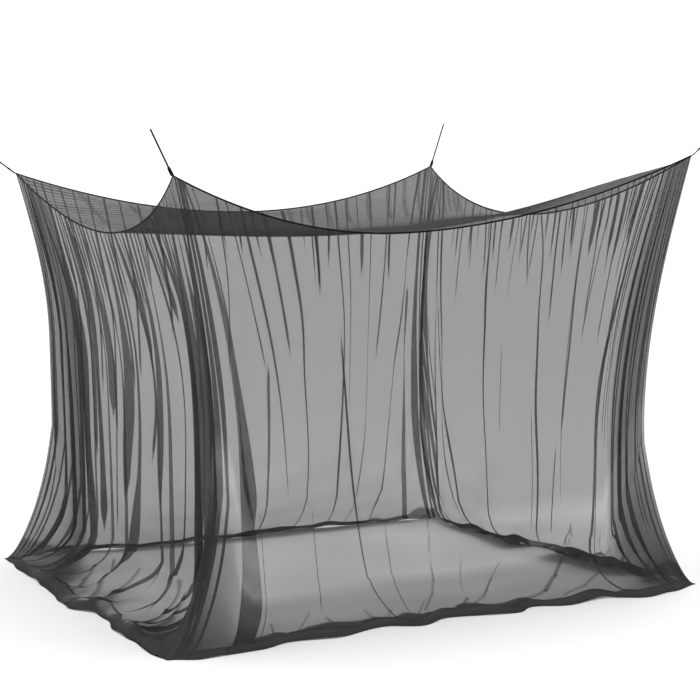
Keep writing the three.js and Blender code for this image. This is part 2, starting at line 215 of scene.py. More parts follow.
def node(tree, kind, inputs=(), **settings):
    """Adds a node, with its settings, and its inputs as values or as sockets to link from."""
    made = tree.nodes.new(kind)
    for name, value in settings.items():
        setattr(made, name, value)
    for socket, value in dict(inputs).items():
        if isinstance(value, bpy.types.NodeSocket):
            tree.links.new(value, made.inputs[socket])
        else:
            made.inputs[socket].default_value = value
    return made


def calculate(tree, operation, first, second=0.0):
    """The result of a math node."""
    return node(tree, "ShaderNodeMath", {0: first, 1: second}, operation=operation).outputs[0]


def node_group(name, inputs, outputs):
    """An empty shader node group with the given sockets, its input and its output node."""
    tree = bpy.data.node_groups.new(name, "ShaderNodeTree")
    for socket, kind in inputs.items():
        tree.interface.new_socket(socket, in_out="INPUT", socket_type=f"NodeSocket{kind}")
    for socket, kind in outputs.items():
        tree.interface.new_socket(socket, in_out="OUTPUT", socket_type=f"NodeSocket{kind}")
    return tree, tree.nodes.new("NodeGroupInput"), tree.nodes.new("NodeGroupOutput")


def yarn_lattice_group():
    """Two sets of yarns at right angles, each covering a share of the pitch: 1 on a yarn, 0 in a gap."""
    sockets = {"Vector": "Vector", "Pitch": "Float", "Yarn": "Float"}
    tree, given, result = node_group("yarn lattice", sockets, {"Mask": "Float"})
    parts = node(tree, "ShaderNodeSeparateXYZ", {0: given.outputs["Vector"]})
    ridges = []
    for axis in ("X", "Y"):
        turns = calculate(tree, "DIVIDE", parts.outputs[axis], given.outputs["Pitch"])
        cell = calculate(tree, "FRACT", turns)
        off = calculate(tree, "ABSOLUTE", calculate(tree, "SUBTRACT", cell, 0.5))
        ridges.append(calculate(tree, "MULTIPLY", off, 2.0))
    nearest = calculate(tree, "MAXIMUM", *ridges)
    gap = calculate(tree, "SUBTRACT", 1.0, given.outputs["Yarn"])
    edge = calculate(tree, "SUBTRACT", nearest, gap)
    mask = node(
        tree, "ShaderNodeMapRange", {"Value": edge, "From Min": -YARN_EDGE, "From Max": YARN_EDGE},
    )
    tree.links.new(mask.outputs[0], result.inputs["Mask"])
    return tree


def faded_tone_group():
    """A dyed colour that is a little uneven over the piece, as dyed cloth is."""
    sockets = {"Vector": "Vector", "Dark": "Color", "Light": "Color", "Scale": "Float"}
    tree, given, result = node_group("faded tone", sockets, {"Color": "Color"})
    patches = node(
        tree, "ShaderNodeTexNoise",
        {"Vector": given.outputs["Vector"], "Scale": given.outputs["Scale"], "Detail": TONE_DETAIL},
    )
    blend = node(
        tree, "ShaderNodeMix",
        {0: patches.outputs[0], 6: given.outputs["Dark"], 7: given.outputs["Light"]}, data_type="RGBA",
    )
    tree.links.new(blend.outputs[2], result.inputs["Color"])
    return tree


yarn_lattice = yarn_lattice_group()
faded_tone = faded_tone_group()


def woven_material(name, dark, light, pitch, relief):
    """Close-woven or braided yarn: an uneven dark dye, and the yarns standing up by relief.
    The lattice is turned to run aslant, and marks the gaps between the yarns, which are painted at half
    the dark dye as painted shade in the hollows."""
    material = bpy.data.materials.new(name)
    material.use_nodes = True
    tree = material.node_tree
    shader = tree.nodes["Principled BSDF"]
    shader.inputs["Roughness"].default_value = YARN_ROUGHNESS
    shader.inputs["Specular IOR Level"].default_value = YARN_GLOSS
    place = node(tree, "ShaderNodeTexCoord")
    aslant = node(
        tree, "ShaderNodeMapping",
        {"Vector": place.outputs["UV"], "Rotation": (0, 0, math.pi / 4)},
    )
    gaps = node(
        tree, "ShaderNodeGroup",
        {"Vector": aslant.outputs[0], "Pitch": pitch, "Yarn": YARN_GAP}, node_tree=yarn_lattice,
    )
    tone = node(
        tree, "ShaderNodeGroup",
        {"Vector": place.outputs["Object"], "Dark": dark, "Light": light, "Scale": TONE_SCALE},
        node_tree=faded_tone,
    )
    # Painted shade: the gaps between the yarns are coloured at half the dark dye.
    shade = node(
        tree, "ShaderNodeMix",
        {0: gaps.outputs["Mask"], 6: tone.outputs["Color"], 7: (*(part / 2 for part in dark[:3]), 1)},
        data_type="RGBA",
    )
    tree.links.new(shade.outputs[2], shader.inputs["Base Color"])
    bump = node(
        tree, "ShaderNodeBump",
        {"Height": calculate(tree, "SUBTRACT", 1.0, gaps.outputs["Mask"]), "Distance": relief},
    )
    tree.links.new(bump.outputs[0], shader.inputs["Normal"])
    return material


cord_finish = woven_material("black braided cord", CORD_DARK, CORD_LIGHT, BRAID_PITCH, BRAID_RELIEF)
for corner in CORNERS:
    foot, pull, reach = hanger_line(corner)
    start = foot + pull * (TAB_LENGTH + SEAM_GAP)
    end = foot + pull * reach
    length = np.linalg.norm(end - start)
    path = np.linspace(start, end, round(length / CORD_STEP) + 1)
    angles = np.linspace(0, 2 * math.pi, CORD_SIDES, endpoint=False)
    circle = np.stack((np.cos(angles), np.sin(angles)), axis=-1) * CORD_DIAMETER / 2
    sides, ups = across_hanger(pull, len(path))
    rings = rings_along(path, sides, ups, np.tile(circle, (len(path), 1, 1)))
    cord = rolled_skin(
        f"hanging_cord_{corner}", rings, cord_finish, (math.pi * CORD_DIAMETER, length)
    )
    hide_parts(f"cord_{corner}")


# Corner tabs
# Black webbing folded round the end of each cord and sewn into the corner.
# It narrows to a neck where the cord comes out.
TAB_WIDTH = 0.020
TAB_OUTLINE = [
    {"along": 0.0, "width": 0.0185, "thickness": 0.0036},
    {"along": 0.02, "width": 0.0200, "thickness": 0.0044},
    {"along": 0.30, "width": 0.0200, "thickness": 0.0046},
    {"along": 0.66, "width": 0.0198, "thickness": 0.0050},
    {"along": 0.84, "width": 0.0165, "thickness": 0.0075},
    {"along": 0.96, "width": 0.0120, "thickness": 0.0104},
    {"along": 1.0, "width": 0.0110, "thickness": 0.0100},
]
TAB_STEPS = 40
TAB_SIDES = 24
CORNER_ROUNDNESS = 0.35
TAPE_DARK = (0.004, 0.004, 0.004, 1)
TAPE_LIGHT = (0.011, 0.011, 0.012, 1)
WEBBING_PITCH = 0.0016
WEBBING_RELIEF = 0.0003

tape_finish = woven_material("black woven tape", TAPE_DARK, TAPE_LIGHT, WEBBING_PITCH, WEBBING_RELIEF)


def flat_outline(width, thickness, sides):
    """Rounded flat outlines, one for each width and thickness."""
    angles = np.linspace(0, 2 * math.pi, sides, endpoint=False)
    round_x = np.sign(np.cos(angles)) * np.abs(np.cos(angles)) ** CORNER_ROUNDNESS
    round_y = np.sign(np.sin(angles)) * np.abs(np.sin(angles)) ** CORNER_ROUNDNESS
    return np.stack((np.outer(width, round_x), np.outer(thickness, round_y)), axis=-1) / 2


for corner in CORNERS:
    foot, pull, reach = hanger_line(corner)
    shares = np.linspace(0, 1, TAB_STEPS + 1)
    marks = [row["along"] for row in TAB_OUTLINE]
    widths = np.interp(shares, marks, [row["width"] for row in TAB_OUTLINE])
    thicknesses = np.interp(shares, marks, [row["thickness"] for row in TAB_OUTLINE])
    path = foot + np.outer(shares * TAB_LENGTH, pull)
    sides, ups = across_hanger(pull, len(path))
    rings = rings_along(path, sides, ups, flat_outline(widths, thicknesses, TAB_SIDES))
    tab = rolled_skin(f"corner_tab_{corner}", rings, tape_finish, (2 * TAB_WIDTH, TAB_LENGTH))
    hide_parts(f"tab_{corner}")


# Binding tapes
# A black tape folded over the seam between the roof and each wall, 10 mm high, sewn through.
# It follows the sagging edge, and its ends are mitred at the corners.
TAPE_STEPS = 240
TAPE_SIDES = 14
TAPE_WAVE = 0.0004
TAPE_WAVES = 41

for wall in TOP_EDGES:
    shares = np.linspace(0, 1, TAPE_STEPS + 1)
    path = top_edge(wall, shares) + UP * TAPE_HEIGHT / 2
    sides = edge_outward(wall, shares)
    sides[0] = corner_outward(TOP_EDGES[wall]["start"])
    sides[-1] = corner_outward(TOP_EDGES[wall]["end"])
    wave = TAPE_WAVE * np.sin(TAPE_WAVES * shares * 2 * math.pi) * np.sin(math.pi * shares)
    path += sides * wave[:, None]
    ups = np.tile(UP, (len(path), 1))
    sizes = np.ones(len(path))
    outline = flat_outline(sizes * TAPE_THICKNESS, sizes * TAPE_HEIGHT, TAPE_SIDES)
    rings = rings_along(path, sides, ups, outline)
    edge_length = np.linalg.norm(np.diff(path, axis=0), axis=1).sum()
    binding = rolled_skin(f"binding_tape_{wall}", rings, tape_finish, (2 * TAPE_HEIGHT, edge_length))
    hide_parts(f"tape_{wall}")


# Wall panels
# Four widths of sheer black net, sewn to the roof under the tapes and to each other down the corners.
# They hang from the sagging edges in pleats, and their spare length is heaped outwards on the ground.
SIDE = 3.0
WALL_LENGTH = 2.4
EDGE_DROP = 0.0007
GROUND_CLEARANCE = 0.001
CLEARANCE_START = 0.6
FLARE_START = 0.73
FLARE_MIDDLE = 0.24
FLARE_CORNER = 0.85
CORNER_REACH = 0.1

# Level sections down a wall. down is the share of the cloth's length above one, fall the share of the
# straight fall, rise the share of the flare's height left, spread and corner the share of the way out
# to the hem, along the wall and at its seams, fold the share of the broad folds' depth and roll the
# share of the heaped hem's height.
Section = namedtuple("Section", "down fall rise spread corner fold roll")
SECTIONS = [
    Section(0.0, 0.0, 1.0, 0.0, 0.0, 0.0, 0.0),
    Section(0.044, 0.06, 1.0, 0.0, 0.0, 0.35, 0.0),
    Section(0.124, 0.17, 1.0, 0.0, 0.0, 0.75, 0.0),
    Section(0.248, 0.34, 1.0, 0.0, 0.0, 0.95, 0.0),
    Section(0.40, 0.55, 1.0, 0.0, 0.0, 1.0, 0.0),
    Section(0.57, 0.78, 1.0, 0.0, 0.0, 1.0, 0.0),
    Section(FLARE_START, 1.0, 1.0, 0.01, 0.01, 1.0, 0.0),
    Section(0.79, 1.0, 0.70, 0.07, 0.15, 0.92, 0.0),
    Section(0.85, 1.0, 0.41, 0.22, 0.36, 0.75, 0.0),
    Section(0.90, 1.0, 0.19, 0.43, 0.59, 0.5, 0.0),
    Section(0.935, 1.0, 0.07, 0.63, 0.76, 0.25, 0.3),
    Section(0.962, 1.0, 0.02, 0.79, 0.87, 0.1, 1.0),
    Section(0.976, 1.0, 0.005, 0.87, 0.92, 0.0, 0.75),
    Section(0.99, 1.0, 0.0, 0.94, 0.96, 0.0, 0.0),
    Section(1.0, 1.0, 0.0, 1.0, 1.0, 0.0, 0.0),
]

# The hem at shares of a wall's width: how far outside the line of its corners it lies, and how high
# its heap stands.
Hem = namedtuple("Hem", "at out roll")
HEMS = {
    "front": [
        Hem(0.0, 0.0, 0.0),
        Hem(0.05, 0.075, 0.020),
        Hem(0.15, 0.055, 0.034),
        Hem(0.21, -0.008, 0.044),
        Hem(0.28, 0.043, 0.030),
        Hem(0.38, -0.048, 0.038),
        Hem(0.44, 0.050, 0.022),
        Hem(0.5, -0.036, 0.046),
        Hem(0.62, 0.066, 0.026),
        Hem(0.66, -0.012, 0.040),
        Hem(0.72, 0.062, 0.024),
        Hem(0.8, 0.022, 0.040),
        Hem(0.87, 0.138, 0.026),
        Hem(0.93, 0.092, 0.034),
        Hem(1.0, 0.0, 0.0),
    ],
    "right": [
        Hem(0.0, 0.0, 0.0),
        Hem(0.1, 0.022, 0.036),
        Hem(0.19, -0.050, 0.058),
        Hem(0.3, 0.060, 0.030),
        Hem(0.38, 0.0, 0.052),
        Hem(0.48, 0.040, 0.028),
        Hem(0.55, -0.090, 0.056),
        Hem(0.69, -0.060, 0.030),
        Hem(0.79, -0.060, 0.038),
        Hem(0.9, -0.070, 0.024),
        Hem(1.0, 0.0, 0.0),
    ],
    "back": [
        Hem(0.0, 0.0, 0.0),
        Hem(0.1, 0.030, 0.024),
        Hem(0.3, 0.038, 0.032),
        Hem(0.42, 0.0, 0.044),
        Hem(0.54, -0.045, 0.028),
        Hem(0.65, -0.090, 0.040),
        Hem(0.76, -0.045, 0.026),
        Hem(0.88, 0.040, 0.034),
        Hem(1.0, 0.0, 0.0),
    ],
    "left": [
        Hem(0.0, 0.0, 0.0),
        Hem(0.15, 0.022, 0.026),
        Hem(0.36, 0.036, 0.040),
        Hem(0.47, 0.080, 0.026),
        Hem(0.53, 0.078, 0.036),
        Hem(0.61, -0.012, 0.052),
        Hem(0.67, -0.008, 0.034),
        Hem(0.76, 0.030, 0.042),
        Hem(0.86, 0.026, 0.028),
        Hem(0.94, 0.032, 0.020),
        Hem(1.0, 0.0, 0.0),
    ],
}

# Broad folds: share of the width, depth near the top and near the ground, outwards if positive,
# and half the width.
Fold = namedtuple("Fold", "at upper lower width")
FOLDS = {
    "front": [
        Fold(0.032, 0.026, 0.058, 0.080),
        Fold(0.078, -0.022, -0.050, 0.072),
        Fold(0.155, 0.014, 0.034, 0.110),
        Fold(0.29, -0.010, -0.026, 0.150),
        Fold(0.45, 0.008, 0.022, 0.170),
        Fold(0.612, -0.014, -0.030, 0.130),
        Fold(0.735, 0.014, 0.032, 0.120),
        Fold(0.865, 0.018, 0.040, 0.095),
        Fold(0.925, -0.024, -0.054, 0.075),
        Fold(0.968, 0.024, 0.046, 0.054),
    ],
    "right": [
        Fold(0.03, 0.022, 0.046, 0.060),
        Fold(0.085, -0.026, -0.056, 0.090),
        Fold(0.172, 0.018, 0.042, 0.110),
        Fold(0.285, -0.014, -0.030, 0.130),
        Fold(0.418, 0.014, 0.032, 0.140),
        Fold(0.56, -0.010, -0.022, 0.150),
        Fold(0.66, 0.014, 0.030, 0.110),
        Fold(0.8, -0.016, -0.032, 0.130),
        Fold(0.915, 0.018, 0.038, 0.090),
        Fold(0.966, -0.022, -0.044, 0.058),
    ],
    "back": [
        Fold(0.028, 0.020, 0.044, 0.058),
        Fold(0.07, -0.022, -0.048, 0.062),
        Fold(0.155, 0.018, 0.036, 0.100),
        Fold(0.24, -0.014, -0.030, 0.110),
        Fold(0.34, 0.012, 0.028, 0.130),
        Fold(0.48, -0.012, -0.028, 0.150),
        Fold(0.62, 0.014, 0.032, 0.140),
        Fold(0.75, -0.014, -0.030, 0.120),
        Fold(0.87, 0.020, 0.044, 0.110),
        Fold(0.945, -0.024, -0.052, 0.080),
    ],
    "left": [
        Fold(0.045, 0.022, 0.048, 0.072),
        Fold(0.115, -0.028, -0.060, 0.084),
        Fold(0.19, 0.026, 0.058, 0.088),
        Fold(0.27, -0.022, -0.050, 0.090),
        Fold(0.43, 0.026, 0.056, 0.110),
        Fold(0.56, -0.020, -0.044, 0.110),
        Fold(0.72, 0.024, 0.054, 0.100),
        Fold(0.835, -0.018, -0.040, 0.100),
        Fold(0.925, 0.024, 0.056, 0.085),
        Fold(0.97, -0.020, -0.040, 0.048),
    ],
}

# Pleats: share of the width near the tape, at mid height and near the ground, the width of net laid
# over itself, the shares of the length where it starts and ends, how many more layers are gathered
# into it, and the share of its width that is caught in the tape.
Pleat = namedtuple("Pleat", "top mid low width first last layers tape", defaults=(0.35,))
PLEATS = {
    "front": [
        Pleat(0.004, 0.005, 0.006, 0.010, 0.00, 1.00, 0.30, 0.70),
        Pleat(0.011, 0.012, 0.014, 0.018, 0.00, 1.00, 0.20, 0.70),
        Pleat(0.017, 0.021, 0.026, 0.014, 0.00, 1.00, 0.40, 0.90),
        Pleat(0.024, 0.074, 0.100, 0.062, 0.00, 1.00, 0.00, 0.12),
        Pleat(0.038, 0.087, 0.114, 0.032, 0.00, 0.54, 0.10, 0.25),
        Pleat(0.062, 0.101, 0.128, 0.006, 0.62, 0.88, 0.40, 1.00),
        Pleat(0.080, 0.112, 0.140, 0.008, 0.00, 0.05, 0.40, 1.20),
        Pleat(0.100, 0.150, 0.176, 0.010, 0.00, 0.26, 0.40, 1.20),
        Pleat(0.128, 0.166, 0.200, 0.012, 0.00, 0.50, 0.50, 1.20),
        Pleat(0.148, 0.182, 0.218, 0.010, 0.00, 0.04, 0.40, 1.20),
        Pleat(0.174, 0.202, 0.236, 0.016, 0.00, 0.22, 0.40, 1.40),
        Pleat(0.222, 0.226, 0.252, 0.006, 0.62, 0.80, 0.40, 1.00),
        Pleat(0.256, 0.260, 0.282, 0.008, 0.00, 0.06, 0.40, 1.20),
        Pleat(0.266, 0.274, 0.300, 0.010, 0.00, 0.08, 0.50, 1.30),
        Pleat(0.290, 0.292, 0.325, 0.008, 0.00, 0.03, 0.40, 1.30),
        Pleat(0.318, 0.321, 0.404, 0.012, 0.26, 1.00, 0.80, 1.00),
        Pleat(0.356, 0.358, 0.424, 0.012, 0.00, 0.04, 0.40, 1.40),
        Pleat(0.386, 0.388, 0.436, 0.006, 0.66, 0.88, 0.30, 1.00),
        Pleat(0.408, 0.412, 0.452, 0.012, 0.00, 0.05, 0.40, 1.40),
        Pleat(0.545, 0.545, 0.543, 0.005, 0.00, 0.02, 0.20, 1.40),
        Pleat(0.572, 0.572, 0.570, 0.007, 0.00, 0.05, 0.16, 1.40),
        Pleat(0.606, 0.605, 0.603, 0.004, 0.00, 0.01, 0.24, 1.50),
        Pleat(0.618, 0.617, 0.615, 0.007, 0.00, 0.04, 0.20, 1.40),
        Pleat(0.630, 0.630, 0.628, 0.005, 0.00, 0.11, 0.24, 1.40),
        Pleat(0.650, 0.649, 0.646, 0.010, 0.00, 0.02, 0.20, 1.30),
        Pleat(0.661, 0.660, 0.657, 0.004, 0.00, 0.13, 0.24, 1.40),
        Pleat(0.675, 0.674, 0.670, 0.007, 0.00, 0.05, 0.24, 1.40),
        Pleat(0.690, 0.689, 0.684, 0.005, 0.00, 0.01, 0.20, 1.50),
        Pleat(0.700, 0.699, 0.694, 0.008, 0.00, 0.09, 0.16, 1.30),
        Pleat(0.724, 0.723, 0.717, 0.006, 0.00, 0.02, 0.20, 1.50),
        Pleat(0.741, 0.740, 0.733, 0.010, 0.00, 0.06, 0.12, 1.30),
        Pleat(0.752, 0.752, 0.744, 0.004, 0.00, 0.17, 0.20, 1.30),
        Pleat(0.772, 0.772, 0.762, 0.005, 0.00, 0.02, 0.20, 1.50),
        Pleat(0.783, 0.788, 0.776, 0.008, 0.00, 0.08, 0.12, 1.30),
        Pleat(0.797, 0.812, 0.796, 0.005, 0.00, 0.58, 0.16, 1.00),
        Pleat(0.816, 0.827, 0.811, 0.005, 0.00, 0.03, 0.20, 1.50),
        Pleat(0.830, 0.842, 0.826, 0.008, 0.00, 0.22, 0.12, 1.20),
        Pleat(0.847, 0.853, 0.837, 0.005, 0.00, 0.05, 0.20, 1.50),
        Pleat(0.860, 0.861, 0.845, 0.007, 0.00, 0.13, 0.12, 1.30),
        Pleat(0.877, 0.869, 0.852, 0.008, 0.00, 0.27, 0.12, 1.20),
        Pleat(0.889, 0.877, 0.859, 0.005, 0.00, 0.07, 0.20, 1.40),
        Pleat(0.900, 0.884, 0.863, 0.007, 0.00, 0.15, 0.12, 1.30),
        Pleat(0.912, 0.892, 0.868, 0.012, 0.00, 1.00, 0.30, 1.00),
        Pleat(0.923, 0.904, 0.882, 0.010, 0.00, 0.46, 0.30, 1.00),
        Pleat(0.934, 0.914, 0.900, 0.008, 0.00, 0.50, 0.30, 1.10),
        Pleat(0.948, 0.936, 0.934, 0.010, 0.00, 0.80, 0.30, 1.00),
        Pleat(0.962, 0.949, 0.947, 0.010, 0.00, 1.00, 0.10, 0.60),
        Pleat(0.974, 0.961, 0.958, 0.008, 0.00, 1.00, 0.10, 0.60),
        Pleat(0.984, 0.975, 0.970, 0.005, 0.00, 0.80, 0.30, 0.80),
        Pleat(0.991, 0.986, 0.981, 0.007, 0.00, 1.00, 0.20, 0.60),
        Pleat(0.997, 0.994, 0.992, 0.004, 0.00, 1.00, 0.30, 0.80),
    ],
    "right": [
        Pleat(0.006, 0.009, 0.010, 0.005, 0.00, 1.00, 0.30, 0.70),
        Pleat(0.015, 0.021, 0.024, 0.008, 0.00, 1.00, 0.20, 0.60),
        Pleat(0.027, 0.035, 0.037, 0.006, 0.00, 0.80, 0.30, 0.80),
        Pleat(0.040, 0.051, 0.050, 0.010, 0.00, 1.00, 0.10, 0.60),
        Pleat(0.054, 0.065, 0.064, 0.012, 0.00, 1.00, 0.10, 0.60),
        Pleat(0.068, 0.078, 0.078, 0.008, 0.00, 1.00, 0.30, 0.90),
        Pleat(0.081, 0.098, 0.112, 0.010, 0.00, 0.50, 0.30, 1.10),
        Pleat(0.096, 0.150, 0.205, 0.018, 0.00, 0.95, 0.40, 1.20),
        Pleat(0.126, 0.164, 0.222, 0.016, 0.00, 0.07, 0.40, 1.30),
        Pleat(0.144, 0.177, 0.236, 0.012, 0.00, 0.04, 0.40, 1.30),
        Pleat(0.166, 0.191, 0.250, 0.020, 0.00, 0.09, 0.40, 1.30),
        Pleat(0.188, 0.205, 0.262, 0.016, 0.00, 0.08, 0.30, 1.20),
        Pleat(0.206, 0.228, 0.276, 0.007, 0.00, 0.26, 0.60, 1.20),
        Pleat(0.226, 0.236, 0.288, 0.012, 0.00, 0.05, 0.40, 1.30),
        Pleat(0.246, 0.245, 0.300, 0.020, 0.00, 0.07, 0.30, 1.30),
        Pleat(0.278, 0.256, 0.312, 0.008, 0.00, 0.46, 0.50, 1.20),
        Pleat(0.296, 0.266, 0.326, 0.008, 0.58, 0.70, 0.60, 1.00),
        Pleat(0.322, 0.292, 0.346, 0.018, 0.00, 0.05, 0.40, 1.30),
        Pleat(0.346, 0.312, 0.362, 0.010, 0.00, 0.10, 0.40, 1.30),
        Pleat(0.372, 0.330, 0.376, 0.008, 0.00, 0.22, 0.50, 1.20),
        Pleat(0.428, 0.352, 0.394, 0.014, 0.00, 1.00, 0.60, 1.20),
        Pleat(0.446, 0.372, 0.418, 0.007, 0.50, 0.72, 0.50, 1.00),
        Pleat(0.476, 0.420, 0.462, 0.010, 0.00, 0.12, 0.40, 1.20),
        Pleat(0.512, 0.460, 0.496, 0.008, 0.00, 0.05, 0.40, 1.30),
        Pleat(0.552, 0.506, 0.520, 0.007, 0.36, 0.48, 0.60, 1.00),
        Pleat(0.590, 0.548, 0.534, 0.012, 0.00, 0.06, 0.40, 1.30),
        Pleat(0.640, 0.576, 0.548, 0.014, 0.00, 1.00, 0.60, 1.20),
        Pleat(0.664, 0.612, 0.578, 0.010, 0.00, 0.12, 0.40, 1.20),
        Pleat(0.696, 0.652, 0.606, 0.008, 0.00, 0.05, 0.40, 1.30),
        Pleat(0.736, 0.694, 0.630, 0.012, 0.00, 0.07, 0.40, 1.30),
        Pleat(0.776, 0.736, 0.648, 0.008, 0.00, 0.20, 0.40, 1.20),
        Pleat(0.812, 0.774, 0.664, 0.008, 0.00, 0.09, 0.40, 1.20),
        Pleat(0.904, 0.803, 0.676, 0.016, 0.00, 1.00, 0.60, 1.30),
        Pleat(0.915, 0.828, 0.706, 0.008, 0.30, 0.85, 0.40, 1.00),
        Pleat(0.925, 0.876, 0.748, 0.008, 0.00, 0.24, 0.40, 1.20),
        Pleat(0.934, 0.924, 0.790, 0.008, 0.40, 0.75, 0.40, 1.00),
        Pleat(0.942, 0.942, 0.826, 0.018, 0.00, 1.00, 0.30, 0.80),
        Pleat(0.956, 0.956, 0.862, 0.024, 0.00, 1.00, 0.20, 0.70),
        Pleat(0.970, 0.970, 0.902, 0.026, 0.00, 1.00, 0.10, 0.60),
        Pleat(0.982, 0.982, 0.942, 0.022, 0.00, 1.00, 0.10, 0.60),
        Pleat(0.992, 0.992, 0.976, 0.010, 0.00, 1.00, 0.20, 0.70),
    ],
    "back": [
        Pleat(0.006, 0.007, 0.007, 0.012, 0.00, 1.00, 0.20, 0.70),
        Pleat(0.015, 0.018, 0.018, 0.024, 0.00, 1.00, 0.20, 0.70),
        Pleat(0.026, 0.064, 0.078, 0.046, 0.35, 0.97, 0.00, 0.60),
        Pleat(0.036, 0.098, 0.170, 0.011, 0.00, 1.00, 0.50, 1.20),
        Pleat(0.102, 0.128, 0.190, 0.012, 0.00, 0.08, 0.40, 1.30),
        Pleat(0.120, 0.150, 0.215, 0.009, 0.00, 0.36, 0.50, 1.20),
        Pleat(0.174, 0.174, 0.258, 0.009, 0.00, 1.00, 0.40, 1.30),
        Pleat(0.208, 0.206, 0.270, 0.008, 0.00, 0.05, 0.40, 1.30),
        Pleat(0.236, 0.234, 0.282, 0.008, 0.00, 0.45, 0.40, 1.30),
        Pleat(0.266, 0.252, 0.300, 0.013, 0.00, 1.00, 0.60, 1.20),
        Pleat(0.292, 0.282, 0.318, 0.008, 0.00, 0.08, 0.40, 1.30),
        Pleat(0.328, 0.312, 0.336, 0.012, 0.00, 0.17, 0.40, 1.30),
        Pleat(0.358, 0.330, 0.352, 0.008, 0.00, 0.06, 0.40, 1.30),
        Pleat(0.400, 0.347, 0.382, 0.018, 0.00, 1.00, 0.50, 1.50),
        Pleat(0.446, 0.410, 0.420, 0.010, 0.00, 0.10, 0.40, 1.30),
        Pleat(0.480, 0.460, 0.488, 0.026, 0.42, 0.95, 0.00, 1.00),
        Pleat(0.520, 0.508, 0.520, 0.010, 0.00, 0.06, 0.40, 1.30),
        Pleat(0.560, 0.555, 0.560, 0.012, 0.00, 0.34, 0.40, 1.20),
        Pleat(0.598, 0.598, 0.602, 0.010, 0.00, 0.10, 0.40, 1.20),
        Pleat(0.638, 0.640, 0.644, 0.012, 0.00, 0.44, 0.30, 1.20),
        Pleat(0.672, 0.674, 0.678, 0.010, 0.00, 0.10, 0.40, 1.20),
        Pleat(0.708, 0.706, 0.708, 0.014, 0.00, 0.26, 0.40, 1.20),
        Pleat(0.746, 0.745, 0.744, 0.010, 0.00, 0.16, 0.40, 1.20),
        Pleat(0.784, 0.783, 0.780, 0.012, 0.00, 0.36, 0.30, 1.20),
        Pleat(0.816, 0.816, 0.812, 0.010, 0.00, 0.18, 0.30, 1.20),
        Pleat(0.850, 0.846, 0.842, 0.012, 0.00, 0.50, 0.30, 1.00),
        Pleat(0.882, 0.876, 0.872, 0.010, 0.00, 0.40, 0.30, 1.00),
        Pleat(0.908, 0.900, 0.896, 0.012, 0.00, 1.00, 0.20, 0.80),
        Pleat(0.930, 0.922, 0.918, 0.012, 0.00, 0.80, 0.20, 0.80),
        Pleat(0.948, 0.940, 0.936, 0.014, 0.00, 1.00, 0.20, 0.80),
        Pleat(0.964, 0.957, 0.953, 0.012, 0.00, 1.00, 0.20, 0.80),
        Pleat(0.978, 0.973, 0.970, 0.012, 0.00, 1.00, 0.20, 0.80),
        Pleat(0.989, 0.987, 0.986, 0.010, 0.00, 1.00, 0.20, 0.80),
    ],
    "left": [
        Pleat(0.008, 0.009, 0.009, 0.008, 0.00, 1.00, 0.30, 0.70),
        Pleat(0.022, 0.024, 0.022, 0.012, 0.00, 1.00, 0.20, 0.70),
        Pleat(0.038, 0.044, 0.040, 0.012, 0.00, 1.00, 0.30, 0.80),
        Pleat(0.056, 0.066, 0.060, 0.018, 0.00, 1.00, 0.10, 0.90),
        Pleat(0.078, 0.094, 0.090, 0.016, 0.00, 1.00, 0.10, 0.70),
        Pleat(0.100, 0.122, 0.118, 0.014, 0.00, 1.00, 0.10, 0.60),
        Pleat(0.122, 0.150, 0.148, 0.016, 0.00, 1.00, 0.10, 0.60),
        Pleat(0.146, 0.180, 0.178, 0.020, 0.00, 0.95, 0.10, 0.60),
        Pleat(0.178, 0.206, 0.210, 0.030, 0.00, 0.90, 0.30, 1.00),
        Pleat(0.200, 0.218, 0.222, 0.014, 0.00, 0.14, 0.40, 1.20),
        Pleat(0.224, 0.230, 0.234, 0.022, 0.00, 0.50, 0.40, 1.20),
        Pleat(0.250, 0.248, 0.250, 0.028, 0.00, 0.66, 0.30, 1.10),
        Pleat(0.270, 0.266, 0.266, 0.016, 0.00, 0.10, 0.40, 1.20),
        Pleat(0.290, 0.284, 0.282, 0.026, 0.00, 0.22, 0.30, 1.10),
        Pleat(0.312, 0.304, 0.300, 0.014, 0.00, 0.07, 0.50, 1.20),
        Pleat(0.332, 0.324, 0.318, 0.044, 0.00, 0.38, 0.10, 0.90),
        Pleat(0.352, 0.340, 0.332, 0.012, 0.00, 0.64, 0.40, 1.20),
        Pleat(0.374, 0.360, 0.346, 0.018, 0.00, 0.12, 0.40, 1.20),
        Pleat(0.398, 0.382, 0.360, 0.028, 0.00, 0.18, 0.30, 1.10),
        Pleat(0.424, 0.408, 0.372, 0.016, 0.00, 0.08, 0.50, 1.20),
        Pleat(0.452, 0.440, 0.384, 0.036, 0.00, 0.56, 0.10, 0.90),
        Pleat(0.480, 0.454, 0.396, 0.014, 0.00, 0.30, 0.40, 1.20),
        Pleat(0.506, 0.474, 0.408, 0.030, 0.00, 0.95, 0.20, 0.90),
        Pleat(0.528, 0.506, 0.424, 0.014, 0.00, 0.10, 0.40, 1.20),
        Pleat(0.550, 0.540, 0.444, 0.024, 0.00, 0.46, 0.40, 1.10),
        Pleat(0.572, 0.556, 0.464, 0.012, 0.00, 0.07, 0.50, 1.20),
        Pleat(0.594, 0.572, 0.484, 0.028, 0.00, 0.24, 0.30, 1.10),
        Pleat(0.618, 0.588, 0.500, 0.014, 0.00, 0.12, 0.40, 1.20),
        Pleat(0.644, 0.606, 0.520, 0.040, 0.00, 1.00, 0.30, 1.00),
        Pleat(0.668, 0.640, 0.548, 0.014, 0.00, 0.08, 0.40, 1.20),
        Pleat(0.692, 0.680, 0.580, 0.028, 0.00, 0.14, 0.30, 1.10),
        Pleat(0.716, 0.716, 0.606, 0.012, 0.00, 0.06, 0.50, 1.20),
        Pleat(0.740, 0.785, 0.660, 0.016, 0.00, 0.90, 0.70, 1.40),
